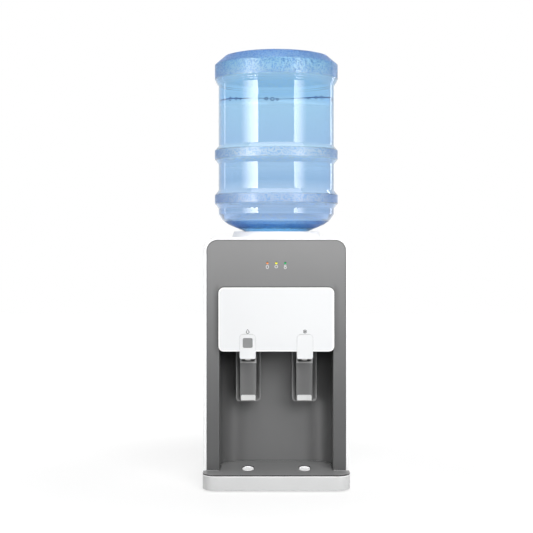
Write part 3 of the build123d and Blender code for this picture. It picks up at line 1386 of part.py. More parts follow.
# Mains inlet: flanged housing with a recessed socket and three contact pins.
FLANGE_WALL = 2.0
FLANGE_OVERLAP = 4.0
FLANGE_CORNER = 3.0
FLANGE_HEIGHT = INLET_HEIGHT + 5.0
INLET_DEPTH = 20.0
SOCKET_WIDTH = INLET_WIDTH - 4.0
SOCKET_HEIGHT = INLET_HEIGHT - 5.0
SOCKET_CORNER = 4.0
SOCKET_DEPTH = 17.0
CONTACT_PITCH = 7.0
CONTACT_RISE = 2.0
CONTACT_WALL = 2.0
CONTACT_HEIGHT = 4.0
CONTACT_LENGTH = 14.0
CONTACT_ROOT_Y = REAR_Y - 16.0

with BuildPart() as power_inlet:
    with BuildSketch(facing(REAR_Y + FLANGE_WALL)):
        with Locations((INLET_X, INLET_Z)):
            RectangleRounded(INLET_WIDTH + 2 * FLANGE_OVERLAP, FLANGE_HEIGHT, FLANGE_CORNER)
    extrude(amount=FLANGE_WALL)
    with BuildSketch(facing(REAR_Y)):
        with Locations((INLET_X, INLET_Z)):
            Rectangle(INLET_WIDTH, INLET_HEIGHT)
    extrude(amount=INLET_DEPTH)
    with BuildSketch(facing(REAR_Y + FLANGE_WALL)):
        with Locations((INLET_X, INLET_Z)):
            socket = Rectangle(SOCKET_WIDTH, SOCKET_HEIGHT)
        chamfer(socket.vertices().group_by(Axis.Y)[-1], SOCKET_CORNER)
    extrude(amount=SOCKET_DEPTH, mode=Mode.SUBTRACT)
    with BuildSketch(facing(CONTACT_ROOT_Y)):
        with Locations((INLET_X, INLET_Z - CONTACT_RISE)):
            with GridLocations(2 * CONTACT_PITCH, 1, 2, 1):
                Rectangle(CONTACT_WALL, CONTACT_HEIGHT)
        with Locations((INLET_X, INLET_Z + CONTACT_RISE)):
            Rectangle(CONTACT_WALL, CONTACT_HEIGHT)
    extrude(amount=-CONTACT_LENGTH)
power_inlet.part.label = "power_inlet"
export_step(power_inlet.part, "parts/power_inlet.step")

# Rocker switch: a snap-in housing and a rocker on trunnions.
ROCKER_TILT = 10.0
ROCKER_Y = REAR_Y - 3.0
BEZEL_WALL = 1.6
BEZEL_WIDTH = SWITCH_WIDTH + 4.0
BEZEL_HEIGHT = SWITCH_HEIGHT + 4.0
BEZEL_CORNER = 1.5
SWITCH_DEPTH = 16.0
SWITCH_WALL = 1.5
WELL_DEPTH = 15.0
TRUNNION_RADIUS = 1.0
TRUNNION_FIT = 0.05
ROCKER_GAP = 1.8
ROCKER_FOOT = 3.0
ROCKER_HALF = 7.4
ROCKER_HEEL = 2.2
ROCKER_CREST = 6.4
ROCKER_HOLLOW = 4.2

with BuildPart() as switch_housing:
    with BuildSketch(facing(REAR_Y + BEZEL_WALL)):
        with Locations((INLET_X, SWITCH_Z)):
            RectangleRounded(BEZEL_WIDTH, BEZEL_HEIGHT, BEZEL_CORNER)
    extrude(amount=BEZEL_WALL)
    with BuildSketch(facing(REAR_Y)):
        with Locations((INLET_X, SWITCH_Z)):
            Rectangle(SWITCH_WIDTH, SWITCH_HEIGHT)
    extrude(amount=SWITCH_DEPTH)
    with BuildSketch(facing(REAR_Y + BEZEL_WALL)):
        with Locations((INLET_X, SWITCH_Z)):
            Rectangle(SWITCH_WIDTH - 2 * SWITCH_WALL, SWITCH_HEIGHT - 2 * SWITCH_WALL)
    extrude(amount=WELL_DEPTH, mode=Mode.SUBTRACT)
    with BuildSketch(across(INLET_X - SWITCH_WIDTH / 2)):
        with Locations((ROCKER_Y, SWITCH_Z)):
            Circle(TRUNNION_RADIUS)
    extrude(amount=SWITCH_WIDTH)
switch_housing.part.label = "switch_housing"
export_step(switch_housing.part, "parts/switch_housing.step")

with BuildPart() as switch_rocker:
    with BuildSketch(across(INLET_X - SWITCH_WIDTH / 2 + ROCKER_GAP)):
        with BuildLine():
            Polyline(
                (ROCKER_Y - ROCKER_FOOT, SWITCH_Z - ROCKER_FOOT),
                (ROCKER_Y - ROCKER_FOOT, SWITCH_Z + ROCKER_FOOT),
                (ROCKER_Y + ROCKER_HEEL, SWITCH_Z + ROCKER_HALF),
                (ROCKER_Y + ROCKER_CREST, SWITCH_Z + ROCKER_HALF),
                (ROCKER_Y + ROCKER_HOLLOW, SWITCH_Z),
                (ROCKER_Y + ROCKER_CREST, SWITCH_Z - ROCKER_HALF),
                (ROCKER_Y + ROCKER_HEEL, SWITCH_Z - ROCKER_HALF),
                close=True,
            )
        make_face()
        with Locations((ROCKER_Y, SWITCH_Z)):
            Circle(TRUNNION_RADIUS + TRUNNION_FIT, mode=Mode.SUBTRACT)
    extrude(amount=SWITCH_WIDTH - 2 * ROCKER_GAP)
rocker_axis = Axis((INLET_X, ROCKER_Y, SWITCH_Z), (1, 0, 0))
tilted_rocker = switch_rocker.part.rotate(rocker_axis, ROCKER_TILT)
tilted_rocker.label = "switch_rocker"
export_step(tilted_rocker, "parts/switch_rocker.step")

# Control board standing in the base's right side, with its main components.
BOARD_X = 92.0
BOARD_Y = 20.0
BOARD_Z = FOOT_HEIGHT + WALL
BOARD_LENGTH = 90.0
BOARD_HEIGHT = 72.0
BOARD_WALL = 1.6
RELAY_PLACES = ((BOARD_Y + 20.0, BOARD_Z + 50.0), (BOARD_Y + 62.0, BOARD_Z + 24.0))
RELAY_LENGTH = 18.0
RELAY_WIDTH = 15.0
CAPACITOR_PLACE = (BOARD_Y + 62.0, BOARD_Z + 52.0)
CAPACITOR_RADIUS = 8.0
COMPONENT_HEIGHT = 14.0

with BuildPart() as control_board:
    with BuildSketch(across(BOARD_X)):
        with Locations((BOARD_Y + BOARD_LENGTH / 2, BOARD_Z + BOARD_HEIGHT / 2)):
            Rectangle(BOARD_LENGTH, BOARD_HEIGHT)
    extrude(amount=BOARD_WALL)
    with BuildSketch(across(BOARD_X + BOARD_WALL)):
        with Locations(*RELAY_PLACES):
            Rectangle(RELAY_LENGTH, RELAY_WIDTH)
        with Locations(CAPACITOR_PLACE):
            Circle(CAPACITOR_RADIUS)
    extrude(amount=COMPONENT_HEIGHT)
control_board.part.label = "control_board"
export_step(control_board.part, "parts/control_board.step")

# Boxed power supply on the base floor.
SUPPLY_X = -106.0
SUPPLY_Y = 80.0
SUPPLY_WIDTH = 66.0
SUPPLY_LENGTH = 118.0
SUPPLY_HEIGHT = 40.0
VENT_LENGTH = 40.0
VENT_WIDTH = 3.0
VENT_PITCH = 9.0
VENT_COUNT = 8

with BuildPart() as power_supply:
    with BuildSketch(level(FOOT_HEIGHT + WALL)):
        with Locations((SUPPLY_X, SUPPLY_Y)):
            Rectangle(SUPPLY_WIDTH, SUPPLY_LENGTH)
    extrude(amount=SUPPLY_HEIGHT)
    with BuildSketch(level(FOOT_HEIGHT + WALL + SUPPLY_HEIGHT)):
        with Locations((SUPPLY_X, SUPPLY_Y)):
            with GridLocations(1, VENT_PITCH, 1, VENT_COUNT):
                Rectangle(VENT_LENGTH, VENT_WIDTH)
    extrude(amount=-VENT_WIDTH, mode=Mode.SUBTRACT)
power_supply.part.label = "power_supply"
export_step(power_supply.part, "parts/power_supply.step")

# Indicator lamps: domed lenses through the panel, a holder, and their board.
HOLDER_WALL = 6.0
HOLDER_WIDTH = 3 * LED_PITCH
HOLDER_HEIGHT = 13.0
HOLDER_CORNER = 2.0
HOLDER_FIT = 0.02
LAMP_BOARD_MARGIN = 3.0
LAMP_PROUD = 1.0
LENS_EDGE = 1.6

with BuildPart() as lamp_holder:
    with BuildSketch(facing(LINER_FRONT_Y + HOLDER_WALL)):
        with Locations((0, LED_Z)):
            RectangleRounded(HOLDER_WIDTH, HOLDER_HEIGHT, HOLDER_CORNER)
            with GridLocations(LED_PITCH, 1, 3, 1):
                Circle(LED_RADIUS + HOLDER_FIT, mode=Mode.SUBTRACT)
    extrude(amount=HOLDER_WALL)
lamp_holder.part.label = "lamp_holder"
export_step(lamp_holder.part, "parts/lamp_holder.step")

with BuildPart() as lamp_board:
    with BuildSketch(facing(LINER_FRONT_Y + HOLDER_WALL + BOARD_WALL)):
        with Locations((0, LED_Z)):
            Rectangle(HOLDER_WIDTH + 2 * LAMP_BOARD_MARGIN, HOLDER_HEIGHT + LAMP_BOARD_MARGIN)
    extrude(amount=BOARD_WALL)
lamp_board.part.label = "lamp_board"
export_step(lamp_board.part, "parts/lamp_board.step")


def lamp(label, x):
    """Round indicator with a domed nose just proud of the panel."""
    with BuildPart() as lens:
        with BuildSketch(facing(LINER_FRONT_Y + HOLDER_WALL)):
            with Locations((x, LED_Z)):
                Circle(LED_RADIUS)
        extrude(amount=LINER_FRONT_Y + HOLDER_WALL - PANEL_Y + LAMP_PROUD)
        fillet(lens.edges().group_by(Axis.Y)[0], LENS_EDGE)
    lens.part.label = label
    export_step(lens.part, f"parts/{label}.step")


lamp("orange_lamp", -LED_PITCH)
lamp("yellow_lamp", 0.0)
lamp("green_lamp", LED_PITCH)
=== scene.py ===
import math

import bmesh
import bpy
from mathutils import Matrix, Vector


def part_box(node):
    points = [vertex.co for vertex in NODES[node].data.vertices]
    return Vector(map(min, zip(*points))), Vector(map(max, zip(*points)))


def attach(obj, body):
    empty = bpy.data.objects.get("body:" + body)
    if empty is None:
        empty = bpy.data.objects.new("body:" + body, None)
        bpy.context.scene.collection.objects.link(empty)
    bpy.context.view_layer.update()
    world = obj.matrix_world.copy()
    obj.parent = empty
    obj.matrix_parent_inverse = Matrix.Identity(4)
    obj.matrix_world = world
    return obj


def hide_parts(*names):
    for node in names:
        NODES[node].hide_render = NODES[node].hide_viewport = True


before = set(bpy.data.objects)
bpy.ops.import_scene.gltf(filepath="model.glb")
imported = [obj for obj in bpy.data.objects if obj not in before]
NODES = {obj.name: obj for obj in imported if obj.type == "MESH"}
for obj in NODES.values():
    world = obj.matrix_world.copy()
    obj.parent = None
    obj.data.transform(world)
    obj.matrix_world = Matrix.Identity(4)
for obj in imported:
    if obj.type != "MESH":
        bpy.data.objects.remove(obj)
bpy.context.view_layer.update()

MM = 0.001


def low(node):
    """Lowest corner of a CAD node at rest."""
    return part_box(node)[0]


def high(node):
    """Highest corner of a CAD node at rest."""
    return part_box(node)[1]


# ------------------------------------------------------------ places from the frame

FACE_Y = low("shell").y
BACK_Y = high("shell").y
BODY_TOP = high("shell").z
PANEL_HALF = high("front_panel").x
PANEL_TOP = high("front_panel").z
PANEL_Y = low("front_panel").y
COVER_LOW = low("front_cover")
COVER_HIGH = high("front_cover")
TRAY_LOW = low("drip_tray")
TRAY_HIGH = high("drip_tray")
LID_HIGH = high("tray_cover")
BOTTLE_LOW = low("bottle")
BOTTLE_HIGH = high("bottle")
BOTTLE_Y = (BOTTLE_LOW.y + BOTTLE_HIGH.y) / 2
TAP_X = (low("right_lever").x + high("right_lever").x) / 2

PANEL_CORNER = 23 * MM
COVER_CORNER = 11.3 * MM
LED_Z = (low("yellow_lamp").z + high("yellow_lamp").z) / 2
LED_PITCH = (high("green_lamp").x + low("green_lamp").x) / 2
SLOT_HALF_WIDTH = 12 * MM
SLOT_HALF_LENGTH = 30 * MM
SLOT_Y = TRAY_LOW.y + 78 * MM
WINDOW_FOOT = 256 * MM
ARC_STEPS = 14

# Painted shade of the recess towards its sides, as distances from the middle in metres
RECESS_PAINTED_SIDE_SHADE = (55 * MM, 90 * MM)
# Painted shadow under the recess's ceiling, as heights in metres
RECESS_PAINTED_CEILING_SHADE = (242 * MM, 290 * MM)
# Painted light on the tap hood towards its foot, as heights in metres
HOOD_PAINTED_FOOT_LIGHT = (225 * MM, 175 * MM)


# ------------------------------------------------------------ mesh helpers

def link(obj):
    """Puts an object into the scene and returns it."""
    bpy.context.scene.collection.objects.link(obj)
    return obj


def finish_mesh(obj, material, body, replaces=(), sharp=32.0, weighted=True):
    """Shades a piece, gives it its material and ties it to its CAD body."""
    mesh = obj.data
    mesh.materials.clear()
    mesh.materials.append(material)
    for polygon in mesh.polygons:
        polygon.use_smooth = True
    mesh.set_sharp_from_angle(angle=math.radians(sharp))
    if weighted:
        normals = obj.modifiers.new("normals", "WEIGHTED_NORMAL")
        normals.keep_sharp = True
        normals.weight = 80
    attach(obj, body)
    if replaces:
        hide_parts(*replaces)
    return obj


def from_bmesh(name, bm):
    """Turns a bmesh into a linked object, merging doubles and turning faces outwards."""
    bmesh.ops.remove_doubles(bm, verts=bm.verts, dist=1e-7)
    bmesh.ops.recalc_face_normals(bm, faces=bm.faces)
    mesh = bpy.data.meshes.new(name)
    bm.to_mesh(mesh)
    bm.free()
    return link(bpy.data.objects.new(name, mesh))


def skin(bm, loops, ring=False):
    """Adds a closed skin through equal closed loops; ring joins the last loop to the first."""
    rows = [[bm.verts.new(p) for p in loop] for loop in loops]
    count = len(rows[0])
    pairs = list(zip(rows, rows[1:]))
    if ring:
        pairs.append((rows[-1], rows[0]))
    for a, b in pairs:
        for i in range(count):
            j = (i + 1) % count
            bm.faces.new((a[i], a[j], b[j], b[i]))
    if not ring:
        bm.faces.new(rows[0])
        bm.faces.new(rows[-1])


def loft(name, loops):
    """Closed piece through equal closed loops."""
    bm = bmesh.new()
    skin(bm, loops)
    return from_bmesh(name, bm)


def stroke(bm, points, width, front, back, closed=False):
    """Adds a flat line of a given width along points in the XZ plane, between two depths."""
    loops = []
    count = len(points)
    for k, (x, z) in enumerate(points):
        before = points[(k - 1) % count] if closed else points[max(k - 1, 0)]
        after = points[(k + 1) % count] if closed else points[min(k + 1, count - 1)]
        along = Vector((after[0] - before[0], after[1] - before[1])).normalized() * width / 2
        u, w = -along.y, along.x
        quad = [(x + u, front, z + w), (x - u, front, z - w)]
        quad += [(x - u, back, z - w), (x + u, back, z + w)]
        loops.append(quad)
    skin(bm, loops, closed)


def lathe(name, profile, x=0.0, y=0.0, segments=160, closed=False):
    """Turns (radius, height) points about an upright axis; closed joins the profile's ends."""
    bm = bmesh.new()
    rings = []
    for radius, z in profile:
        if radius < 1e-6:
            rings.append([bm.verts.new((x, y, z))])
            continue
        ring = []
        for k in range(segments):
            a = 2 * math.pi * k / segments
            ring.append(bm.verts.new((x + radius * math.cos(a), y + radius * math.sin(a), z)))
        rings.append(ring)
    pairs = list(zip(rings, rings[1:]))
    if closed:
        pairs.append((rings[-1], rings[0]))
    for a, b in pairs:
        for k in range(segments):
            m = (k + 1) % segments
            if len(a) == 1 and len(b) == 1:
                break
            if len(a) == 1:
                bm.faces.new((a[0], b[m], b[k]))
            elif len(b) == 1:
                bm.faces.new((a[k], a[m], b[0]))
            else:
                bm.faces.new((a[k], a[m], b[m], b[k]))
    return from_bmesh(name, bm)


def arc(cx, cy, radius, start, end, steps=ARC_STEPS):
    """Points on an arc, angles in degrees."""
    points = []
    for k in range(steps + 1):
        a = math.radians(start + (end - start) * k / steps)
        points.append((cx + radius * math.cos(a), cy + radius * math.sin(a)))
    return points


def rounded_box(cx, cy, half_u, half_v, radii):
    """Closed outline; radii run lower right, upper right, upper left, lower left."""
    lr, ur, ul, ll = radii
    points = arc(cx + half_u - lr, cy - half_v + lr, lr, -90, 0)
    points += arc(cx + half_u - ur, cy + half_v - ur, ur, 0, 90)
    points += arc(cx - half_u + ul, cy + half_v - ul, ul, 90, 180)
    points += arc(cx - half_u + ll, cy - half_v + ll, ll, 180, 270)
    return points


def ellipse(cx, cy, half_u, half_v, steps=40):
    """Closed ellipse, centre and half axes."""
    return [(cx + half_u * u, cy + half_v * v) for u, v in arc(0, 0, 1, 0, 360, steps)[:-1]]


# ------------------------------------------------------------ materials

class Nodes:
    """Small helper that adds and wires shader nodes."""

    def __init__(self, name):
        self.material = bpy.data.materials.new(name)
        self.material.use_nodes = True
        self.tree = self.material.node_tree
        self.tree.nodes.clear()
        self.output = self.add("ShaderNodeOutputMaterial")
        self.shader = self.add("ShaderNodeBsdfPrincipled")
        self.join(self.shader, "BSDF", self.output, "Surface")

    def add(self, kind, **values):
        node = self.tree.nodes.new(kind)
        for key, value in values.items():
            setattr(node, key, value)
        return node

    def join(self, a, out, b, into):
        self.tree.links.new(a.outputs[out], b.inputs[into])

    def coordinates(self):
        return self.add("ShaderNodeTexCoord")

    def noise(self, coordinates, scale, detail=3.0, roughness=0.5):
        node = self.add("ShaderNodeTexNoise")
        node.inputs["Scale"].default_value = scale
        node.inputs["Detail"].default_value = detail
        node.inputs["Roughness"].default_value = roughness
        self.join(coordinates, "Object", node, "Vector")
        return node

    def spread(self, source, out, from_low, from_high, to_low, to_high, smooth=False):
        node = self.add("ShaderNodeMapRange")
        if smooth:
            node.interpolation_type = "SMOOTHSTEP"
        for key, value in (
            ("From Min", from_low),
            ("From Max", from_high),
            ("To Min", to_low),
            ("To Max", to_high),
        ):
            node.inputs[key].default_value = value
        self.join(source, out, node, "Value")
        return node

    def blend(self, factor, out, first, second):
        """Colour mix; first and second are colours or (node, output) pairs."""
        node = self.add("ShaderNodeMix", data_type="RGBA")
        self.tree.links.new(factor.outputs[out], node.inputs[0])
        for socket, value in ((node.inputs[6], first), (node.inputs[7], second)):
            if isinstance(value[0], (int, float)):
                socket.default_value = (*value[:3], 1.0)
            else:
                self.tree.links.new(value[0].outputs[value[1]], socket)
        return node

    def math(self, operation, a, b=None):
        node = self.add("ShaderNodeMath", operation=operation)
        for socket, value in zip(node.inputs, (a, b)):
            if value is None:
                continue
            if isinstance(value, (int, float)):
                socket.default_value = value
            else:
                self.tree.links.new(value[0].outputs[value[1]], socket)
        return node

    def axes(self, coordinates):
        split = self.add("ShaderNodeSeparateXYZ")
        self.join(coordinates, "Object", split, "Vector")
        return split

    def outline_distance(self, split, centre, half, radius):
        """Distance in the XZ plane to a rounded rectangle, negative inside it."""
        reach = []
        for axis, middle, size in zip("XZ", centre, half):
            offset = self.math("SUBTRACT", (split, axis), middle)
            offset = self.math("ABSOLUTE", (offset, "Value"))
            reach.append(self.math("SUBTRACT", (offset, "Value"), size - radius))
        u, v = reach
        inner = self.math("MAXIMUM", (u, "Value"), (v, "Value"))
        inner = self.math("MINIMUM", (inner, "Value"), 0.0)
        squares = []
        for value in reach:
            outer = self.math("MAXIMUM", (value, "Value"), 0.0)
            squares.append(self.math("MULTIPLY", (outer, "Value"), (outer, "Value")))
        total = self.math("ADD", (squares[0], "Value"), (squares[1], "Value"))
        total = self.math("SQRT", (total, "Value"))
        total = self.math("ADD", (total, "Value"), (inner, "Value"))
        return self.math("SUBTRACT", (total, "Value"), radius)

    def band(self, source, out, start, end, blur):
        """1 between two values of the source and 0 outside them."""
        rise = self.spread(source, out, start - blur, start, 0.0, 1.0)
        fall = self.spread(source, out, end, end + blur, 1.0, 0.0)
        return self.math("MULTIPLY", (rise, "Result"), (fall, "Result"))

    def recolour(self, mask, out, colour):
        """Lays another colour over the base colour where the mask is 1."""
        socket = self.shader.inputs["Base Color"]
        before = socket.links[0].from_socket
        node = self.add("ShaderNodeMix", data_type="RGBA")
        self.tree.links.new(mask.outputs[out], node.inputs[0])
        self.tree.links.new(before, node.inputs[6])
        node.inputs[7].default_value = (*colour, 1.0)
        self.tree.links.new(node.outputs[2], socket)

    def bump(self, source, out, strength, distance):
        node = self.add("ShaderNodeBump")
        node.inputs["Strength"].default_value = strength
        node.inputs["Distance"].default_value = distance
        self.join(source, out, node, "Height")
        self.join(node, "Normal", self.shader, "Normal")
        return node


def shade(colour, factor):
    """Colour made darker or lighter by a factor, clipped at 1."""
    return tuple(min(1.0, c * factor) for c in colour)


def moulded_nodes(name, colour, roughness, grain, depth, mottle=0.03, foot=None, foot_z=0.0, head_z=1.0):
    """Moulded plastic: faint mottle, uneven gloss and a fine grain; foot tints the lower end."""
    n = Nodes(name)
    coords = n.coordinates()
    cloud = n.noise(coords, 9.0, 4.0)
    fine = n.noise(coords, grain, 2.0, 0.6)
    patch = n.spread(cloud, "Fac", 0.3, 0.7, 0.0, 1.0)
    colours = n.blend(patch, "Result", shade(colour, 1 - mottle), shade(colour, 1 + mottle))
    if foot:
        rise = n.spread(n.axes(coords), "Z", foot_z, head_z, 0.0, 1.0)
        rise = n.math("POWER", (rise, "Result"), 1.5)
        colours = n.blend(rise, "Value", foot, (colours, 2))
    n.tree.links.new(colours.outputs[2], n.shader.inputs["Base Color"])
    gloss = n.spread(cloud, "Fac", 0.3, 0.7, roughness * 0.92, roughness * 1.1)
    n.join(gloss, "Result", n.shader, "Roughness")
    n.shader.inputs["IOR"].default_value = 1.49
    n.bump(fine, "Fac", 0.35, depth)
    return n


def moulded(*settings):
    """Material of plain moulded plastic, as moulded_nodes makes it."""
    return moulded_nodes(*settings).material


def painted_glow_white(glow, *settings):
    """White plastic given a painted glow, so its shaded sides stay pale."""
    n = moulded_nodes(*settings)
    n.shader.inputs["Emission Color"].default_value = (1.0, 1.0, 1.0, 1.0)
    n.shader.inputs["Emission Strength"].default_value = glow
    return n.material


def cover_material():
    """White front cover with a painted highlight, brightest along its own edge."""
    n = moulded_nodes("white_cover", (0.742, 0.752, 0.762), 0.3, 800.0, 0.00003, 0.003)
    split = n.axes(n.coordinates())
    middle = (0.0, (COVER_LOW.z + COVER_HIGH.z) / 2)
    half = (COVER_HIGH.x, (COVER_HIGH.z - COVER_LOW.z) / 2)
    edge = n.outline_distance(split, middle, half, COVER_CORNER)
    # painted highlight: a lighter band just inside the cover's edge
    rim = n.spread(edge, "Value", -4.0 * MM, -2.2 * MM, 0.0, 1.0, True)
    n.recolour(rim, "Result", (0.93, 0.93, 0.93))
    return n.material


def recess_material():
    """Grey recess lining, darker towards its ceiling and its sides as painted shade."""
    n = moulded_nodes("grey_recess", GREY_IN, 0.45, 1500.0, 0.00005, 0.02)
    split = n.axes(n.coordinates())
    off = n.math("ABSOLUTE", (split, "X"))
    # painted shade: darker towards the recess's side walls
    sides = n.spread(off, "Value", *RECESS_PAINTED_SIDE_SHADE, 0.0, 0.34, True)
    n.recolour(sides, "Result", (0.02, 0.02, 0.02))
    # painted shadow: darker under the ceiling, where the front cover shades it
    ceiling = n.spread(split, "Z", *RECESS_PAINTED_CEILING_SHADE, 0.0, 0.9, True)
    n.recolour(ceiling, "Result", (0.02, 0.02, 0.02))
    return n.material


def tap_material():
    """Grey tap hood, lighter towards its foot as painted light."""
    n = moulded_nodes("grey_tap", (0.13, 0.131, 0.132), 0.38, 1600.0, 0.00004, 0.02)
    split = n.axes(n.coordinates())
    # painted light: the hood is lighter towards its foot
    lower = n.spread(split, "Z", *HOOD_PAINTED_FOOT_LIGHT, 0.0, 1.0, True)
    n.recolour(lower, "Result", (0.21, 0.21, 0.21))
    return n.material


def panel_material():
    """Grey panel with painted shade: darker towards its foot, a dark line along its own edge, a shadow line
    round the front cover and a soft shadow beside it.
    """
    # painted shade: the grey darkens from GREY_TOP towards the foot, where less light falls
    n = moulded_nodes("grey_panel", GREY_TOP, 0.42, 1500.0, 0.00005, 0.02, GREY_FOOT_PAINTED_SHADE, 0.10, 0.5)
    split = n.axes(n.coordinates())
    middle = (0.0, (COVER_LOW.z + COVER_HIGH.z) / 2)
    half = (COVER_HIGH.x, (COVER_HIGH.z - COVER_LOW.z) / 2)
    gap = n.outline_distance(split, middle, half, COVER_CORNER)
    # painted shadow: a dark line on the panel round the front cover
    n.recolour(n.band(gap, "Value", -2 * MM, 1.3 * MM, 0.5 * MM), "Value", (0.03, 0.03, 0.031))
    # painted shadow: a soft darkening of the panel beside the front cover
    off = n.math("ABSOLUTE", (split, "X"))
    painted_shadow_beside = n.spread(off, "Value", COVER_HIGH.x - 2 * MM, COVER_HIGH.x + 3 * MM, 0.0, 0.42)
    near = n.spread(gap, "Value", 0.0, 15 * MM, 1.0, 0.0, True)
    n.recolour(n.math("MULTIPLY", (painted_shadow_beside, "Result"), (near, "Result")), "Value", (0.06, 0.06, 0.06))
    # painted shade: a dark line along the panel's own edge
    edge = n.outline_distance(split, (0.0, 0.0), (PANEL_HALF, PANEL_TOP), PANEL_CORNER)
    n.recolour(n.band(edge, "Value", -0.9 * MM, 1 * MM, 0.3 * MM), "Value", (0.08, 0.08, 0.081))
    return n.material


def lid_material():
    """Grey tray cover with painted shade, darker round each drain slot and under its front lip."""
    n = moulded_nodes("grey_tray", (0.235, 0.237, 0.238), 0.4, 1500.0, 0.00006, 0.025)
    split = n.axes(n.coordinates())
    off = n.math("ABSOLUTE", (split, "X"))
    off = n.math("SUBTRACT", (off, "Value"), TAP_X)
    off = n.math("DIVIDE", (off, "Value"), SLOT_HALF_WIDTH + 1.4 * MM)
    out = n.math("SUBTRACT", (split, "Y"), SLOT_Y)
    out = n.math("DIVIDE", (out, "Value"), SLOT_HALF_LENGTH + 4 * MM)
    off = n.math("MULTIPLY", (off, "Value"), (off, "Value"))
    out = n.math("MULTIPLY", (out, "Value"), (out, "Value"))
    ring = n.math("ADD", (off, "Value"), (out, "Value"))
    # painted shade: a darker oval round each drain slot
    n.recolour(n.band(ring, "Value", -1.0, 0.95, 0.1), "Value", (0.10, 0.10, 0.10))
    # painted shadow: all but the top face is darkened, giving the shadow line under the front lip
    n.recolour(n.band(split, "Z", 0.0, LID_HIGH.z - 0.5 * MM, 0.2 * MM), "Value", (0.02, 0.02, 0.02))
    return n.material


def tray_material():
    """White tray with a painted highlight, brighter along its top edge."""
    n = moulded_nodes("white_tray", (0.615, 0.62, 0.62), 0.34, 900.0, 0.00004, 0.015)
    split = n.axes(n.coordinates())
    # painted highlight: a lighter band along the tray's top edge
    n.recolour(n.band(split, "Z", TRAY_HIGH.z - 1.6 * MM, TRAY_HIGH.z, 0.5 * MM), "Value", (0.92, 0.92, 0.92))
    return n.material


def lever_material():
    """Grey lever with a painted highlight, a light edge round its window."""
    n = moulded_nodes("grey_lever", (0.126, 0.127, 0.128), 0.38, 1600.0, 0.00004, 0.02)
    split = n.axes(n.coordinates())
    off = n.math("ABSOLUTE", (split, "X"))
    off = n.math("SUBTRACT", (off, "Value"), TAP_X)
    off = n.math("ABSOLUTE", (off, "Value"))
    # painted highlight: light bands along the window's sill and sides
    painted_sill_highlight = n.band(split, "Z", WINDOW_FOOT - 2.4 * MM, WINDOW_FOOT + 0.5 * MM, 0.4 * MM)
    arms = n.band(off, "Value", 14.6 * MM, 18 * MM, 0.3 * MM)
    above = n.band(split, "Z", WINDOW_FOOT - 2 * MM, WINDOW_FOOT + 40 * MM, 0.5 * MM)
    arms = n.math("MULTIPLY", (arms, "Value"), (above, "Value"))
    light = n.math("MAXIMUM", (painted_sill_highlight, "Value"), (arms, "Value"))
    n.recolour(light, "Value", (0.42, 0.42, 0.42))
    return n.material


def metal(name, colour, roughness):
    """Drawn metal with fine streaks along Z."""
    n = Nodes(name)
    coords = n.coordinates()
    stretch = n.add("ShaderNodeMapping")
    stretch.inputs["Scale"].default_value = (900, 900, 30)
    n.join(coords, "Object", stretch, "Vector")
    streaks = n.add("ShaderNodeTexNoise")
    streaks.inputs["Scale"].default_value = 1.0
    n.join(stretch, "Vector", streaks, "Vector")
    mixed = n.blend(streaks, "Fac", shade(colour, 0.88), shade(colour, 1.08))
    n.tree.links.new(mixed.outputs[2], n.shader.inputs["Base Color"])
    n.shader.inputs["Metallic"].default_value = 1.0
    gloss = n.spread(streaks, "Fac", 0.3, 0.7, roughness * 0.8, roughness * 1.25)
    n.join(gloss, "Result", n.shader, "Roughness")
    n.bump(streaks, "Fac", 0.2, 0.00002)
    return n.material


def beads(name, colour):
    """Expanded foam: packed round cells."""
    n = Nodes(name)
    coords = n.coordinates()
    cells = n.add("ShaderNodeTexVoronoi")
    cells.inputs["Scale"].default_value = 260.0
    n.join(coords, "Object", cells, "Vector")
    mixed = n.blend(cells, "Distance", shade(colour, 1.02), shade(colour, 0.8))
    n.tree.links.new(mixed.outputs[2], n.shader.inputs["Base Color"])
    n.shader.inputs["Roughness"].default_value = 0.85
    n.bump(cells, "Distance", 0.5, 0.0006)
    return n.material


def lens(name, colour, glow):
    """Lit indicator: tinted plastic with painted shade at its upper edge, glowing brighter below."""
    n = Nodes(name)
    coords = n.coordinates()
    cloud = n.noise(coords, 700.0, 2.0)
    mixed = n.blend(cloud, "Fac", shade(colour, 0.85), shade(colour, 1.15))
    n.tree.links.new(mixed.outputs[2], n.shader.inputs["Base Color"])
    split = n.axes(coords)
    # painted shade: the upper edge of the lens is dark
    upper = n.spread(split, "Z", LED_Z + 0.2 * MM, LED_Z + 1.6 * MM, 0.0, 1.0)
    n.recolour(upper, "Result", (0.02, 0.02, 0.02))
    n.shader.inputs["Emission Color"].default_value = (*colour, 1.0)
    lit = n.spread(split, "Z", LED_Z - 1.2 * MM, LED_Z + 1.2 * MM, glow, 0.0)
    n.join(lit, "Result", n.shader, "Emission Strength")
    n.shader.inputs["Roughness"].default_value = 0.18
    n.bump(cloud, "Fac", 0.1, 0.0001)
    return n.material


WHITE = (0.92, 0.925, 0.93)
GREY_TOP = (0.227, 0.227, 0.228)
# Panel grey at its foot, darker as painted shade
GREY_FOOT_PAINTED_SHADE = (0.085, 0.086, 0.087)
GREY_IN = (0.168, 0.169, 0.170)

white_shell = moulded("white_shell", WHITE, 0.32, 900.0, 0.00004, 0.012)
# painted light: the seat collar glows faintly, though it is no lamp
white_collar = painted_glow_white(0.07, "white_collar", (0.9, 0.9, 0.905), 0.32, 900.0, 0.00003, 0.01)
white_cover = cover_material()
white_lever = moulded("white_lever", (0.745, 0.755, 0.765), 0.3, 800.0, 0.00003, 0.003)
white_tray = tray_material()
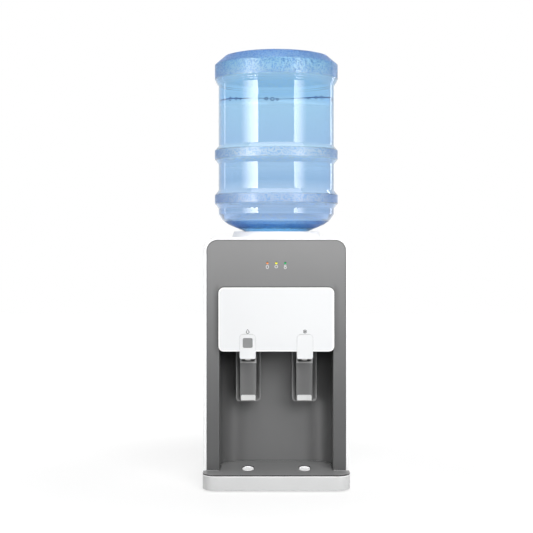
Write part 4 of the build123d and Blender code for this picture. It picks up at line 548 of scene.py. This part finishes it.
# painted light: the drain pads glow, though they are no lamp
white_pad = painted_glow_white(0.22, "white_pad", (0.93, 0.93, 0.93), 0.4, 900.0, 0.00003, 0.01)
white_part = moulded("white_part", (0.78, 0.78, 0.77), 0.4, 1200.0, 0.00004, 0.02)
grey_panel = panel_material()
grey_recess = recess_material()
grey_tap = tap_material()
grey_lever = lever_material()
grey_tray = lid_material()
grey_button = moulded("grey_button", (0.23, 0.233, 0.235), 0.4, 1800.0, 0.00006, 0.02)
black_part = moulded("black_part", (0.03, 0.03, 0.032), 0.45, 1500.0, 0.00005, 0.05)
rubber = moulded("rubber", (0.025, 0.025, 0.026), 0.75, 1900.0, 0.0001, 0.08)
silicone = moulded("silicone", (0.655, 0.66, 0.655), 0.5, 1500.0, 0.00004, 0.03)
steel = metal("steel", (0.62, 0.62, 0.63), 0.25)
aluminium = metal("aluminium", (0.75, 0.76, 0.77), 0.35)
foam = beads("foam", (0.85, 0.85, 0.83))
board = moulded("board", (0.02, 0.16, 0.07), 0.4, 700.0, 0.00005, 0.12)
ceramic = moulded("ceramic", (0.78, 0.78, 0.75), 0.6, 1400.0, 0.00004, 0.03)
dark_ink = moulded("dark_ink", (0.08, 0.08, 0.085), 0.5, 2000.0, 0.00002, 0.05)
pale_ink = moulded("pale_ink", (0.62, 0.62, 0.62), 0.5, 2000.0, 0.00002, 0.03)

# Colour of the bottle seen through both walls, by height in metres: the blue is the plastic's own, and its
# changes with height are painted light and shade of the water, the air above it, the rings and the steps
BOTTLE_TINTS_WITH_PAINTED_LIGHT = (
    (0.528, (0.55, 0.78, 0.92)),
    (0.535, (0.46, 0.76, 1.0)),
    (0.549, (0.46, 0.75, 0.98)),
    (0.556, (0.67, 0.78, 0.93)),
    (0.575, (0.56, 0.69, 0.85)),
    (0.598, (0.72, 0.82, 0.94)),
    (0.612, (0.68, 0.80, 0.93)),
    (0.640, (0.55, 0.71, 0.87)),
    (0.682, (0.63, 0.78, 0.92)),
    (0.690, (0.78, 0.885, 0.97)),
    (0.700, (0.76, 0.865, 0.95)),
    (0.709, (0.71, 0.85, 0.95)),
    (0.719, (0.59, 0.75, 0.90)),
    (0.800, (0.61, 0.79, 0.92)),
    (0.815, (0.50, 0.72, 0.90)),
    (0.850, (0.56, 0.77, 0.92)),
    (0.856, (0.59, 0.78, 0.92)),
    (0.862, (0.66, 0.83, 0.95)),
    (0.888, (0.62, 0.86, 0.97)),
    (0.897, (0.54, 0.79, 0.96)),
    (0.916, (0.50, 0.78, 0.98)),
)
# Bottom and top of each stippled band, in metres
STIPPLE_BANDS = ((0.860, 0.917), (0.686, 0.709), (0.590, 0.612), (0.536, 0.555))
STIPPLE_BLUR = 3 * MM
STIPPLE_FINE = 360.0
STIPPLE_FACE = (0.38, 0.64, 0.91)
STIPPLE_DEEP = (0.14, 0.38, 0.78)
STIPPLE_PALE = (1.0, 1.0, 1.0)
EDGE_TINT = (0.26, 0.54, 0.86)
WALL_EDGE_TINT = (0.72, 0.85, 0.96)
REAR_TINT = (0.84, 0.93, 0.98)


def height_tints(n, split, top, tints):
    """Colour ramp over the height, from 0 up to top."""
    height = n.spread(split, "Z", 0.0, top, 0.0, 1.0)
    ramp = n.add("ShaderNodeValToRGB")
    n.join(height, "Result", ramp, "Fac")
    stops = ramp.color_ramp.elements
    while len(stops) < len(tints):
        stops.new(0.5)
    for stop, (z, colour) in zip(stops, tints):
        stop.position = z / top
        stop.color = (*[c * c / rear for c, rear in zip(colour, REAR_TINT)], 1.0)
    return ramp


def bottle_material():
    """Blue clear plastic, deepest at the front, with a coarse moulded stipple on its bands; its tint changes
    with height as painted light and shade.
    """
    n = Nodes("bottle_blue")
    coords = n.coordinates()
    split = n.axes(coords)
    # painted light and shade: the tint ramp by height
    ramp = height_tints(n, split, 1.0, BOTTLE_TINTS_WITH_PAINTED_LIGHT)
    front = n.spread(split, "Y", BOTTLE_Y - 0.02, BOTTLE_Y + 0.05, 1.0, 0.0, True)
    mask = None
    for bottom, top in STIPPLE_BANDS:
        rise = n.spread(split, "Z", bottom, bottom + STIPPLE_BLUR, 0.0, 1.0, True)
        fall = n.spread(split, "Z", top - STIPPLE_BLUR, top, 1.0, 0.0, True)
        band = n.math("MULTIPLY", (rise, "Result"), (fall, "Result"))
        mask = band if mask is None else n.math("MAXIMUM", (mask, "Value"), (band, "Value"))
    seen = n.spread(front, "Result", 0.0, 1.0, 0.5, 1.0)
    mask = n.math("MULTIPLY", (mask, "Value"), (seen, "Result"))
    grains = n.noise(coords, STIPPLE_FINE, 0.0, 0.5)
    spots = n.spread(grains, "Fac", 0.40, 0.52, 0.0, 1.0, True)
    edge = n.add("ShaderNodeLayerWeight")
    edge.inputs["Blend"].default_value = 0.5
    side = n.spread(edge, "Facing", 0.25, 0.8, 0.0, 1.0, True)
    deep = n.blend(side, "Result", STIPPLE_FACE, STIPPLE_DEEP)
    speckle = n.blend(spots, "Result", (deep, 2), STIPPLE_PALE)
    speckle = n.blend(mask, "Value", (1.0, 1.0, 1.0), (speckle, 2))
    tint = n.add("ShaderNodeMix", data_type="RGBA", blend_type="MULTIPLY")
    tint.inputs[0].default_value = 1.0
    walls = n.blend(front, "Result", REAR_TINT, (ramp, "Color"))
    n.tree.links.new(walls.outputs[2], tint.inputs[6])
    n.tree.links.new(speckle.outputs[2], tint.inputs[7])
    sides = n.add("ShaderNodeMix", data_type="RGBA", blend_type="MULTIPLY")
    n.join(side, "Result", sides, 0)
    n.tree.links.new(tint.outputs[2], sides.inputs[6])
    edges = n.blend(mask, "Value", WALL_EDGE_TINT, EDGE_TINT)
    n.tree.links.new(edges.outputs[2], sides.inputs[7])
    n.tree.links.new(sides.outputs[2], n.shader.inputs["Base Color"])
    frost = n.math("MULTIPLY", (mask, "Value"), (spots, "Result"))
    clear = n.spread(frost, "Value", 0.0, 1.0, 1.0, 0.68)
    n.join(clear, "Result", n.shader, "Transmission Weight")
    n.shader.inputs["IOR"].default_value = 1.45
    gloss = n.spread(mask, "Value", 0.0, 1.0, 0.03, 0.32)
    n.join(gloss, "Result", n.shader, "Roughness")
    n.bump(frost, "Value", 0.6, 0.0006)
    return n.material


def water_material(name, first, second, clear=1.0):
    """Clear water with a faint tint; a clear value below 1 makes it less clear, as in the water line and
    bubble rims painted dark as shade.
    """
    n = Nodes(name)
    coords = n.coordinates()
    cloud = n.noise(coords, 6.0, 2.0)
    tint = n.blend(cloud, "Fac", first, second)
    n.tree.links.new(tint.outputs[2], n.shader.inputs["Base Color"])
    n.shader.inputs["Transmission Weight"].default_value = clear
    n.shader.inputs["IOR"].default_value = 1.33
    n.shader.inputs["Roughness"].default_value = 0.0
    return n.material


bottle_blue = bottle_material()
water = water_material("water", (0.93, 0.97, 1.0), (0.97, 0.99, 1.0))
# painted shade: the dark band where the water meets the wall
water_line_painted_shade = water_material("water_line_painted_shade", (0.20, 0.44, 0.72), (0.28, 0.52, 0.80), 0.5)
# painted shade: the dark outlines of the bubbles
bubble_rim_painted_shade = water_material("bubble_rim_painted_shade", (0.08, 0.27, 0.55), (0.14, 0.36, 0.64), 0.2)
orange_lens = lens("orange_lens", (0.80, 0.27, 0.08), 0.35)
yellow_lens = lens("yellow_lens", (0.85, 0.80, 0.04), 0.5)
green_lens = lens("green_lens", (0.0, 0.35, 0.09), 0.35)


# ------------------------------------------------------------ CAD nodes that stay

KEPT_NODES = {
    white_shell: ("base", "shell"),
    white_cover: ("front_cover",),
    white_lever: ("left_lever_pad", "right_lever_pad"),
    white_tray: ("drip_tray", "rear_panel"),
    white_part: (
        "bottle_cap",
        "drain_cap",
        "drain_spigot",
        "feed_probe",
        "left_bonnet",
        "right_bonnet",
        "left_faucet_body",
        "right_faucet_body",
        "reservoir",
        "shank_nuts",
        "transfer_pipe",
    ),
    grey_panel: ("front_panel",),
    grey_recess: ("recess_liner",),
    grey_lever: ("left_lever", "right_lever"),
    grey_tray: ("tray_cover",),
    grey_button: ("lock_button",),
    black_part: (
        "fan_frame",
        "fan_rotor",
        "lamp_holder",
        "power_inlet",
        "power_supply",
        "switch_housing",
        "switch_rocker",
    ),
    rubber: ("rubber_feet",),
    silicone: (
        "ambient_tube",
        "cold_tube",
        "drain_tube",
        "left_bumper",
        "left_seat_cup",
        "right_bumper",
        "right_seat_cup",
    ),
    steel: (
        "case_screws",
        "cold_tank",
        "left_valve_spring",
        "left_valve_stem",
        "lever_pins",
        "right_valve_spring",
        "right_valve_stem",
    ),
    aluminium: ("cold_block", "heat_sink"),
    foam: ("foam_jacket",),
    board: ("control_board", "lamp_board"),
    ceramic: ("cooling_module",),
    orange_lens: ("orange_lamp",),
    yellow_lens: ("yellow_lamp",),
    green_lens: ("green_lamp",),
}

for kept_material, kept in KEPT_NODES.items():
    for node in kept:
        slots = NODES[node].data.materials
        if not slots:
            slots.append(kept_material)
        for index in range(len(slots)):
            slots[index] = kept_material


# ------------------------------------------------------------ bottle, water and seat

def rounded_path(points, radius, steps=5):
    """Open polyline with each inner corner replaced by an arc."""
    path = [Vector(points[0])]
    for before, corner, after in zip(points, points[1:], points[2:]):
        corner = Vector(corner)
        a = Vector(before) - corner
        b = Vector(after) - corner
        half = a.angle(b) / 2
        if half > math.radians(89):
            path.append(corner)
            continue
        reach = min(radius / math.tan(half), 0.45 * a.length, 0.45 * b.length)
        start = corner + a.normalized() * reach
        end = corner + b.normalized() * reach
        for k in range(steps + 1):
            t = k / steps
            path.append(start.lerp(corner, t).lerp(corner.lerp(end, t), t))
    path.append(Vector(points[-1]))
    return path


def inset(path, wall):
    """The same path moved to its right-hand side by the wall thickness."""
    moved = []
    for k, point in enumerate(path):
        along = path[min(k + 1, len(path) - 1)] - path[max(k - 1, 0)]
        along.normalize()
        moved.append(Vector((max(point.x + along.y * wall, 0.0), point.y - along.x * wall)))
    return moved


HOOP = 134 * MM
WAIST = 126 * MM
NECK = 27.5 * MM
HOOP_CENTRES = (697 * MM, 600.5 * MM)
HOOP_FLAT = 9.5 * MM
HOOP_REACH = 20 * MM
COLLAR_TOP = high("bottle_seat").z
BOTTLE_WALL = 1.6 * MM
BOTTLE_ROUND = 2.6 * MM
BAND_TOP = 893 * MM
BAND_FOOT = 860.5 * MM
STEP_TOP = 857 * MM
STEP_PITCH = 4.5 * MM
STEP_FLAT = 2 * MM
WATER_LEVEL = 813.5 * MM
WATER_DIP = 6.5 * MM
WATER_RISE = 11 * MM


def bottle_profile():
    """Half section of the inverted bottle from the middle of its base down to the neck."""
    top = BOTTLE_HIGH.z
    points = [(0, top - 12 * MM), (78 * MM, top - 10 * MM), (88 * MM, top)]
    points += [(98 * MM, top - 0.6 * MM), (112 * MM, top - 4 * MM)]
    points += [(HOOP, BAND_TOP), (HOOP, BAND_FOOT)]
    for step in range(3):
        radius = HOOP - (step + 1) * (HOOP - WAIST) / 3
        upper = STEP_TOP - STEP_PITCH * step
        points += [(radius, upper), (radius, upper - STEP_FLAT)]
    for centre in HOOP_CENTRES:
        points += [(WAIST, centre + HOOP_REACH), (HOOP, centre + HOOP_FLAT)]
        points += [(HOOP, centre - HOOP_FLAT), (WAIST, centre - HOOP_REACH)]
    points += [(125.5 * MM, 568 * MM), (117.5 * MM, 555.5 * MM), (104 * MM, 546 * MM), (68 * MM, 530.3 * MM)]
    points += [(38 * MM, 515.3 * MM), (NECK, 508.3 * MM), (NECK, BOTTLE_LOW.z)]
    return rounded_path(points, BOTTLE_ROUND)


bottle_outside = bottle_profile()
bottle_inside = inset(bottle_outside, BOTTLE_WALL)
bottle_inside[0] = Vector((0, bottle_outside[0].y - BOTTLE_WALL))


def flow(name, material, body, profile, y, replaces=(), segments=192, sharp=40.0, closed=False):
    """A turned piece about the upright axis at depth y, smooth-shaded and tied to its body."""
    piece = lathe(name, [(p[0], p[1]) for p in profile], 0.0, y, segments, closed)
    return finish_mesh(piece, material, body, replaces, sharp, weighted=False)


bottle_wall = list(bottle_outside) + list(reversed(bottle_inside))
flow("bottle_body", bottle_blue, "water_bottle", bottle_wall, BOTTLE_Y, ("bottle",), 192, 60.0)


# Place across the bottle and radius of each bubble, in millimetres
BUBBLES = [(-98, 3.6), (-85, 2.7), (-76, 2.0), (-21, 3.0), (-8, 3.6)]
BUBBLES += [(2, 2.2), (68, 2.0), (84, 3.0), (96, 3.6)]


def bubble_ring(bm, centre, outward, radius, wire=0.8 * MM):
    """Rim of a bubble that lies against the wall."""
    tangent = Vector((-outward.y, outward.x, 0))
    loops = []
    for k in range(20):
        a = 2 * math.pi * k / 20
        radial = tangent * math.cos(a) + Vector((0, 0, math.sin(a)))
        middle = centre + radial * radius
        arms = [radial * math.cos(b) + outward * math.sin(b) for b in (0, 1.57, 3.14, 4.71)]
        loops.append([middle + wire * arm for arm in arms])
    skin(bm, loops, True)


def water_height(x, y, rim):
    """Still but gently uneven surface that dips at its front and climbs a little at its right."""
    wave = math.sin(38 * x + 1.3) * math.cos(31 * y) + 0.6 * math.sin(71 * x - 44 * y)
    near = max(0.0, (BOTTLE_Y - y) / rim)
    return WATER_LEVEL + 0.9 * MM * wave + WATER_RISE * max(0.0, x / rim - 0.5) - WATER_DIP * near * near


def water_piece():
    """Water in the bottle up to its level, with a meniscus band painted dark as shade, and bubbles along the
    wall with rims painted dark as shade.
    """
    rim = WAIST - BOTTLE_WALL - 0.3 * MM
    skin = inset(bottle_outside, BOTTLE_WALL + 0.3 * MM)
    lowest_hoop_foot = HOOP_CENTRES[-1] - HOOP_REACH
    side = [Vector((rim, WATER_LEVEL))] + [p for p in skin if p.y < lowest_hoop_foot and p.x < rim]
    surface = [(rim * k / 24, WATER_LEVEL) for k in range(24)]
    surface += [(rim - 1.6 * MM, WATER_LEVEL), (rim - 0.6 * MM, WATER_LEVEL + 1.0 * MM)]
    surface += [(rim, WATER_LEVEL + 2.4 * MM)]
    profile = surface + [(p.x, p.y) for p in side] + [(0.0, side[-1].y)]
    piece = lathe("bottle_water", profile, 0.0, BOTTLE_Y, 144)
    for vertex in piece.data.vertices:
        x, y, z = vertex.co
        if z > WATER_LEVEL - 0.1 * MM:
            vertex.co.z = z - WATER_LEVEL + water_height(x, y, rim)
    finish_mesh(piece, water, "water_bottle", (), 60.0, False)
    # painted shade: faces of the meniscus band get the dark water-line material
    piece.data.materials.append(water_line_painted_shade)
    for face in piece.data.polygons:
        across = math.hypot(face.center.x, face.center.y - BOTTLE_Y)
        if across > rim - 1.7 * MM and face.center.z > WATER_LEVEL - 3 * MM:
            face.material_index = 1
    bm = bmesh.new()
    for x, radius in BUBBLES:
        x, radius = x * MM, radius * MM
        y = BOTTLE_Y - math.sqrt((rim - 0.4 * MM) ** 2 - x * x)
        outward = Vector((x, y - BOTTLE_Y, 0)).normalized()
        centre = Vector((x, y, water_height(x, y, rim) + 0.2 * radius)) - outward * MM
        bubble_ring(bm, centre, outward, radius)
    # painted shade: bubble rims made as dark rings
    finish_mesh(from_bmesh("bottle_bubbles", bm), bubble_rim_painted_shade, "water_bottle", (), 60.0, False)


water_piece()


def seat_profile():
    """Section of the bottle seat: collar outside, funnel inside, throat below."""
    foot = low("bottle_seat").z
    base = high("bottle_seat").x
    ring = 52 * MM
    throat = 36 * MM
    wall = 2.5 * MM
    top = COLLAR_TOP
    rest = top - 8.4 * MM
    corners = [
        (base, BODY_TOP),
        (base - 1.2 * MM, BODY_TOP + 4 * MM),
        (base - 4.7 * MM, top),
        (base - 8.7 * MM, top),
        (84 * MM, BODY_TOP + 1 * MM),
        (ring + 4 * MM, BODY_TOP - 2 * MM),
        (ring, rest - 0.3 * MM),
        (throat + 6 * MM, BODY_TOP - 8 * MM),
        (throat, BODY_TOP - 12 * MM),
        (throat, foot),
        (throat + wall, foot),
        (throat + wall, BODY_TOP - 14 * MM),
        (87 * MM, BODY_TOP - 4 * MM),
        (87 * MM, BODY_TOP),
        (base, BODY_TOP),
    ]
    return rounded_path(corners, 1.6 * MM, 4)[:-1]


flow(
    "seat_collar", white_collar, "cabinet",
    seat_profile(), BOTTLE_Y, ("bottle_seat",), 192, 50.0, True,
)


# ------------------------------------------------------------ tap hoods, drain pads and printed marks

HOOD_RIM = 2 * MM
HOOD_EDGE = 0.7 * MM
HOOD_CORNER = 8 * MM
TROUGH_CORNER = 6.5 * MM
TROUGH_FLOOR_HALF = 17.7 * MM
TROUGH_SPLAY = 7 * MM
TROUGH_DEPTH = 32 * MM


def hood_outline(x, half, foot, head, corner, y):
    """Outline with rounded lower corners at a depth."""
    middle = (foot + head) / 2
    radii = (corner, 0.2 * MM, 0.2 * MM, corner)
    return [(u, y, v) for u, v in rounded_box(x, middle, half, (head - foot) / 2, radii)]


def tap_hood(side):
    """Hood on the recess wall with a trough whose edge is splayed towards the front."""
    node = side + "_tap_housing"
    x = (low(node).x + high(node).x) / 2
    half = (high(node).x - low(node).x) / 2
    front, back = low(node).y, high(node).y
    foot, head = low(node).z, high(node).z
    inner = half - HOOD_RIM
    narrow = TROUGH_FLOOR_HALF
    floor_foot, floor_head = foot + 3 * HOOD_RIM, head - 2 * HOOD_RIM
    loops = [
        hood_outline(x, half, foot, head, HOOD_CORNER, back - 1.7 * MM),
        hood_outline(x, half, foot, head, HOOD_CORNER, front + HOOD_EDGE),
        hood_outline(x, half - 0.2 * MM, foot + 0.2 * MM, head - 0.2 * MM, HOOD_CORNER, front + 0.2 * MM),
        hood_outline(x, half - HOOD_EDGE, foot + HOOD_EDGE, head - HOOD_EDGE, HOOD_CORNER, front),
        hood_outline(x, inner, foot + HOOD_RIM, head - HOOD_RIM, TROUGH_CORNER, front),
        hood_outline(x, narrow, floor_foot, floor_head, TROUGH_CORNER, front + TROUGH_SPLAY),
        hood_outline(x, narrow, floor_foot, floor_head, TROUGH_CORNER, front + TROUGH_DEPTH),
    ]
    finish_mesh(loft(side + "_tap_hood", loops), grey_tap, "cabinet", (node,), 28.0)


tap_hood("left")
tap_hood("right")

PAD_HOLE = 10.1 * MM
PAD_GROW = 0.45 * MM
PAD_LONGER = 1.2 * MM
PAD_CORNERS = (4 * MM, 7.4 * MM, 7.4 * MM, 4 * MM)
EDGE_ROUND = 0.7 * MM
EDGE_STEPS = 5


def lever_pad(side, has_lock):
    """White finger pad with a soft front edge; the left one has the lock button's pocket."""
    node = side + "_lever_pad"
    x = (low(node).x + high(node).x) / 2
    half = (high(node).x - low(node).x) / 2 + PAD_GROW
    front, back = low(node).y, high(node).y
    foot, head = low(node).z - PAD_LONGER, high(node).z + PAD_GROW

    def outline(inset_by, y):
        radii = [max(corner - inset_by, 0.5 * MM) for corner in PAD_CORNERS]
        points = rounded_box(x, (foot + head) / 2, half - inset_by, (head - foot) / 2 - inset_by, radii)
        return [(u, y, v) for u, v in points]

    loops = [outline(0, back)]
    for step in range(EDGE_STEPS + 1):
        a = math.pi / 2 * step / EDGE_STEPS
        loops.append(outline(EDGE_ROUND * (1 - math.cos(a)), front + EDGE_ROUND * (1 - math.sin(a))))
    if has_lock:
        middle = (low("lock_button").z + high("lock_button").z) / 2
        hole = rounded_box(x, middle, PAD_HOLE, PAD_HOLE, [3 * MM] * 4)
        loops += [[(u, y, v) for u, v in hole] for y in (front, back)]
    bm = bmesh.new()
    skin(bm, loops, has_lock)
    pad = from_bmesh(node + "_skin", bm)
    finish_mesh(pad, white_lever, side + "_tap_lever", (node,), 28.0)


lever_pad("left", True)
lever_pad("right", False)

DRAIN_PAD_HALF_WIDTH = SLOT_HALF_WIDTH - 0.3 * MM
DRAIN_PAD_HALF_LENGTH = SLOT_HALF_LENGTH - 3 * MM
# Share of the oval's size and height in millimetres above the tray cover
PAD_SHAPE = ((1.0, -26.0), (1.0, -0.9), (0.97, -0.3), (0.92, -0.1), (0.87, -0.1), (0.84, -0.6), (0.80, -1.5))


def drain_pad(name, x):
    """White oval pad with a shallow dish that fills a drain slot with a gap all round."""
    loops = []
    for share, drop in PAD_SHAPE:
        oval = ellipse(x, SLOT_Y, share * DRAIN_PAD_HALF_WIDTH, share * DRAIN_PAD_HALF_LENGTH, 56)
        loops.append([(u, v, LID_HIGH.z + drop * MM) for u, v in oval])
    finish_mesh(loft(name, loops), white_pad, "tray", (), 28.0)


drain_pad("left_drain_pad", -TAP_X)
drain_pad("right_drain_pad", TAP_X)


def marks(name, material, y, strokes, width):
    """Printed lines on a surface that faces the front; strokes are (closed, points)."""
    bm = bmesh.new()
    for closed, points in strokes:
        stroke(bm, points, width, y - 0.06 * MM, y + 0.2 * MM, closed)
    finish_mesh(from_bmesh(name, bm), material, "cabinet", (), 30.0, False)


def snowflake(x, z, radius):
    """Three crossed strokes with a small fork near each end."""
    strokes = []
    for k in range(6):
        a = math.radians(30 + 60 * k)
        u, w = math.cos(a), math.sin(a)
        strokes.append((False, [(x, z), (x + radius * u, z + radius * w)]))
        for turn in (-50, 50):
            b = a + math.radians(turn)
            root = (x + 0.55 * radius * u, z + 0.55 * radius * w)
            tip = (root[0] + 0.4 * radius * math.cos(b), root[1] + 0.4 * radius * math.sin(b))
            strokes.append((False, [root, tip]))
    return strokes


def droplet(x, z, radius):
    """Outline of a water drop."""
    lower = arc(x, z - 0.3 * radius, 0.75 * radius, 160, 380, 16)
    return [(True, [(x, z + 1.15 * radius)] + lower)]


ICON_Z = LED_Z - 8 * MM
left_ring = [(True, ellipse(-LED_PITCH, ICON_Z, 2.4 * MM, 3.7 * MM, 24))]
marks("left_icon", pale_ink, PANEL_Y, left_ring, 1.3 * MM)
middle_ring = [(True, ellipse(0, ICON_Z + 0.5 * MM, 3.1 * MM, 2.6 * MM, 24))]
marks("middle_icon", pale_ink, PANEL_Y, middle_ring, 1.2 * MM)
right_rings = [(True, ellipse(LED_PITCH, ICON_Z + 2.4 * MM, 1.7 * MM, 1.5 * MM, 20))]
right_rings += [(True, ellipse(LED_PITCH, ICON_Z - 1.6 * MM, 2.3 * MM, 2.2 * MM, 24))]
marks("right_icon", pale_ink, PANEL_Y, right_rings, 1.3 * MM)

PICTOGRAM_Z = COVER_LOW.z + 41.6 * MM
drop_strokes = droplet(-TAP_X, PICTOGRAM_Z, 3.8 * MM)
marks("drop_pictogram", dark_ink, COVER_LOW.y, drop_strokes, 1.4 * MM)
snow_strokes = snowflake(TAP_X, PICTOGRAM_Z, 4.2 * MM)
marks("snow_pictogram", dark_ink, COVER_LOW.y, snow_strokes, 0.95 * MM)


# ------------------------------------------------------------ stage, light and camera

EYE = Vector((0.0, -2.7765, 0.512))
LENS = 86.6
SHIFT = (-0.0184, -0.0497)
WORLD_LIGHT = 0.3
FLOOR_GLOW = 1.15
SHADOW_REACH = (0.35, 1.1)
SHADOW_KEEP = 0.60
REFLECTOR_Z = 0.95
REFLECTOR_TALL = 1.5


def floor_material():
    """Pale floor that shows white to the camera and keeps a soft shadow."""
    n = Nodes("floor")
    coords = n.coordinates()
    cloud = n.noise(coords, 3.0, 3.0)
    tone = n.blend(cloud, "Fac", (0.80, 0.80, 0.80), (0.83, 0.83, 0.83))
    n.tree.links.new(tone.outputs[2], n.shader.inputs["Base Color"])
    n.shader.inputs["Roughness"].default_value = 0.9
    n.shader.inputs["Specular IOR Level"].default_value = 0.0
    glow = n.add("ShaderNodeEmission")
    glow.inputs["Color"].default_value = (1.0, 1.0, 1.0, 1.0)
    glow.inputs["Strength"].default_value = FLOOR_GLOW
    path = n.add("ShaderNodeLightPath")
    seen = n.math("MAXIMUM", (path, "Is Camera Ray"), (path, "Is Glossy Ray"))
    seen = n.math("MAXIMUM", (seen, "Value"), (path, "Is Transmission Ray"))
    reach = n.add("ShaderNodeVectorMath", operation="LENGTH")
    n.join(coords, "Object", reach, "Vector")
    keep = n.spread(reach, "Value", *SHADOW_REACH, SHADOW_KEEP, 1.0, True)
    share = n.math("MULTIPLY", (seen, "Value"), (keep, "Result"))
    mix = n.add("ShaderNodeMixShader")
    n.join(share, "Value", mix, "Fac")
    n.join(n.shader, "BSDF", mix, 1)
    n.tree.links.new(glow.outputs["Emission"], mix.inputs[2])
    n.join(mix, "Shader", n.output, "Surface")
    return n.material


def make_floor():
    """Large pale table top."""
    bm = bmesh.new()
    bmesh.ops.create_grid(bm, x_segments=8, y_segments=8, size=6.0)
    mesh = bpy.data.meshes.new("floor")
    bm.to_mesh(mesh)
    bm.free()
    floor = link(bpy.data.objects.new("floor", mesh))
    mesh.materials.append(floor_material())


def make_world():
    """White studio: plain to the eye and in reflections, gentle as a light."""
    world = bpy.data.worlds.new("studio")
    bpy.context.scene.world = world
    world.use_nodes = True
    tree = world.node_tree
    tree.nodes.clear()
    output = tree.nodes.new("ShaderNodeOutputWorld")
    seen = tree.nodes.new("ShaderNodeBackground")
    light = tree.nodes.new("ShaderNodeBackground")
    path = tree.nodes.new("ShaderNodeLightPath")
    first = tree.nodes.new("ShaderNodeMath")
    second = tree.nodes.new("ShaderNodeMath")
    mix = tree.nodes.new("ShaderNodeMixShader")
    seen.inputs["Strength"].default_value = 1.0
    seen.inputs["Color"].default_value = (1, 1, 1, 1)
    light.inputs["Color"].default_value = (1, 1, 1, 1)
    light.inputs["Strength"].default_value = WORLD_LIGHT
    first.operation = "MAXIMUM"
    second.operation = "MAXIMUM"
    tree.links.new(path.outputs["Is Camera Ray"], first.inputs[0])
    tree.links.new(path.outputs["Is Glossy Ray"], first.inputs[1])
    tree.links.new(first.outputs[0], second.inputs[0])
    tree.links.new(path.outputs["Is Transmission Ray"], second.inputs[1])
    tree.links.new(second.outputs[0], mix.inputs[0])
    tree.links.new(light.outputs[0], mix.inputs[1])
    tree.links.new(seen.outputs[0], mix.inputs[2])
    tree.links.new(mix.outputs[0], output.inputs["Surface"])


def softbox(name, azimuth, distance, height, width, tall, power, aim):
    """Area lamp at an azimuth from the camera's side of the object, aimed at a point."""
    lamp = bpy.data.lights.new(name, "AREA")
    lamp.shape = "RECTANGLE"
    lamp.size = width
    lamp.size_y = tall
    lamp.energy = power
    obj = link(bpy.data.objects.new(name, lamp))
    a = math.radians(azimuth)
    obj.location = (distance * math.sin(a), BOTTLE_Y - distance * math.cos(a), height)
    toward = Vector(aim) - obj.location
    obj.rotation_euler = toward.to_track_quat("-Z", "Y").to_euler()
    obj.visible_camera = False
    obj.visible_transmission = False
    obj.visible_glossy = False
    return obj


def reflector(name, near, far, distance, power, near_share=1.0, far_share=1.0):
    """Upright strip seen only in reflections, between two azimuths, fading from near to far."""
    middle = (near + far) / 2
    width = 2 * distance * math.tan(math.radians(abs(far - near) / 2))
    aim = (0, BOTTLE_Y, REFLECTOR_Z)
    obj = softbox(name, middle, distance, REFLECTOR_Z, width, REFLECTOR_TALL, power, aim)
    obj.visible_glossy = True
    obj.visible_diffuse = False
    lamp = obj.data
    lamp.use_nodes = True
    tree = lamp.node_tree
    emission = next(node for node in tree.nodes if node.type == "EMISSION")
    place = tree.nodes.new("ShaderNodeNewGeometry")
    split = tree.nodes.new("ShaderNodeSeparateXYZ")
    fade = tree.nodes.new("ShaderNodeMapRange")
    fade.interpolation_type = "SMOOTHSTEP"
    fade.inputs["To Min"].default_value = near_share
    fade.inputs["To Max"].default_value = far_share
    tree.links.new(place.outputs["Parametric"], split.inputs["Vector"])
    tree.links.new(split.outputs["X"], fade.inputs["Value"])
    tree.links.new(fade.outputs["Result"], emission.inputs["Strength"])
    return obj


def make_camera():
    """Level camera, so uprights stay upright; the lens shift places the object in the picture."""
    camera = bpy.data.cameras.new("camera")
    camera.lens = LENS
    camera.sensor_width = 36.0
    camera.shift_x, camera.shift_y = SHIFT
    camera.clip_end = 50.0
    obj = link(bpy.data.objects.new("camera", camera))
    obj.location = EYE
    obj.rotation_euler = (math.radians(90), 0, 0)
    bpy.context.scene.camera = obj


make_floor()
make_world()
softbox("front_softbox", 15.0, 2.0, 0.95, 1.1, 0.75, 22.5, (0, FACE_Y, 0.35))
softbox("top_softbox", 10.0, 1.2, 1.7, 0.9, 0.7, 11.0, (0, FACE_Y, 0.45))
softbox("rear_softbox", 180.0, 1.9, 1.0, 1.2, 0.9, 16.0, (0, BACK_Y, 0.3))
softbox("left_softbox", -100.0, 1.9, 0.9, 0.9, 0.9, 5.0, (0, BOTTLE_Y, 0.3))
softbox("right_softbox", 100.0, 1.9, 0.9, 0.9, 0.9, 4.0, (0, BOTTLE_Y, 0.3))
reflector("left_reflector", -75.0, -35.0, 1.9, 112.0, 0.0, 1.0)
reflector("right_reflector", 34.0, 62.0, 1.9, 54.0, 1.0, 0.0)
reflector("rear_left_reflector", -118.0, -124.0, 1.9, 1.8)
reflector("rear_right_reflector", 135.0, 139.0, 1.9, 3.0)
overhead = softbox("overhead_reflector", 0.0, 0.35, 1.9, 1.6, 1.0, 16.0, (0, BOTTLE_Y, 0.9))
overhead.visible_glossy = True
overhead.visible_diffuse = False
make_camera()
bpy.context.scene.view_settings.view_transform = "Standard"
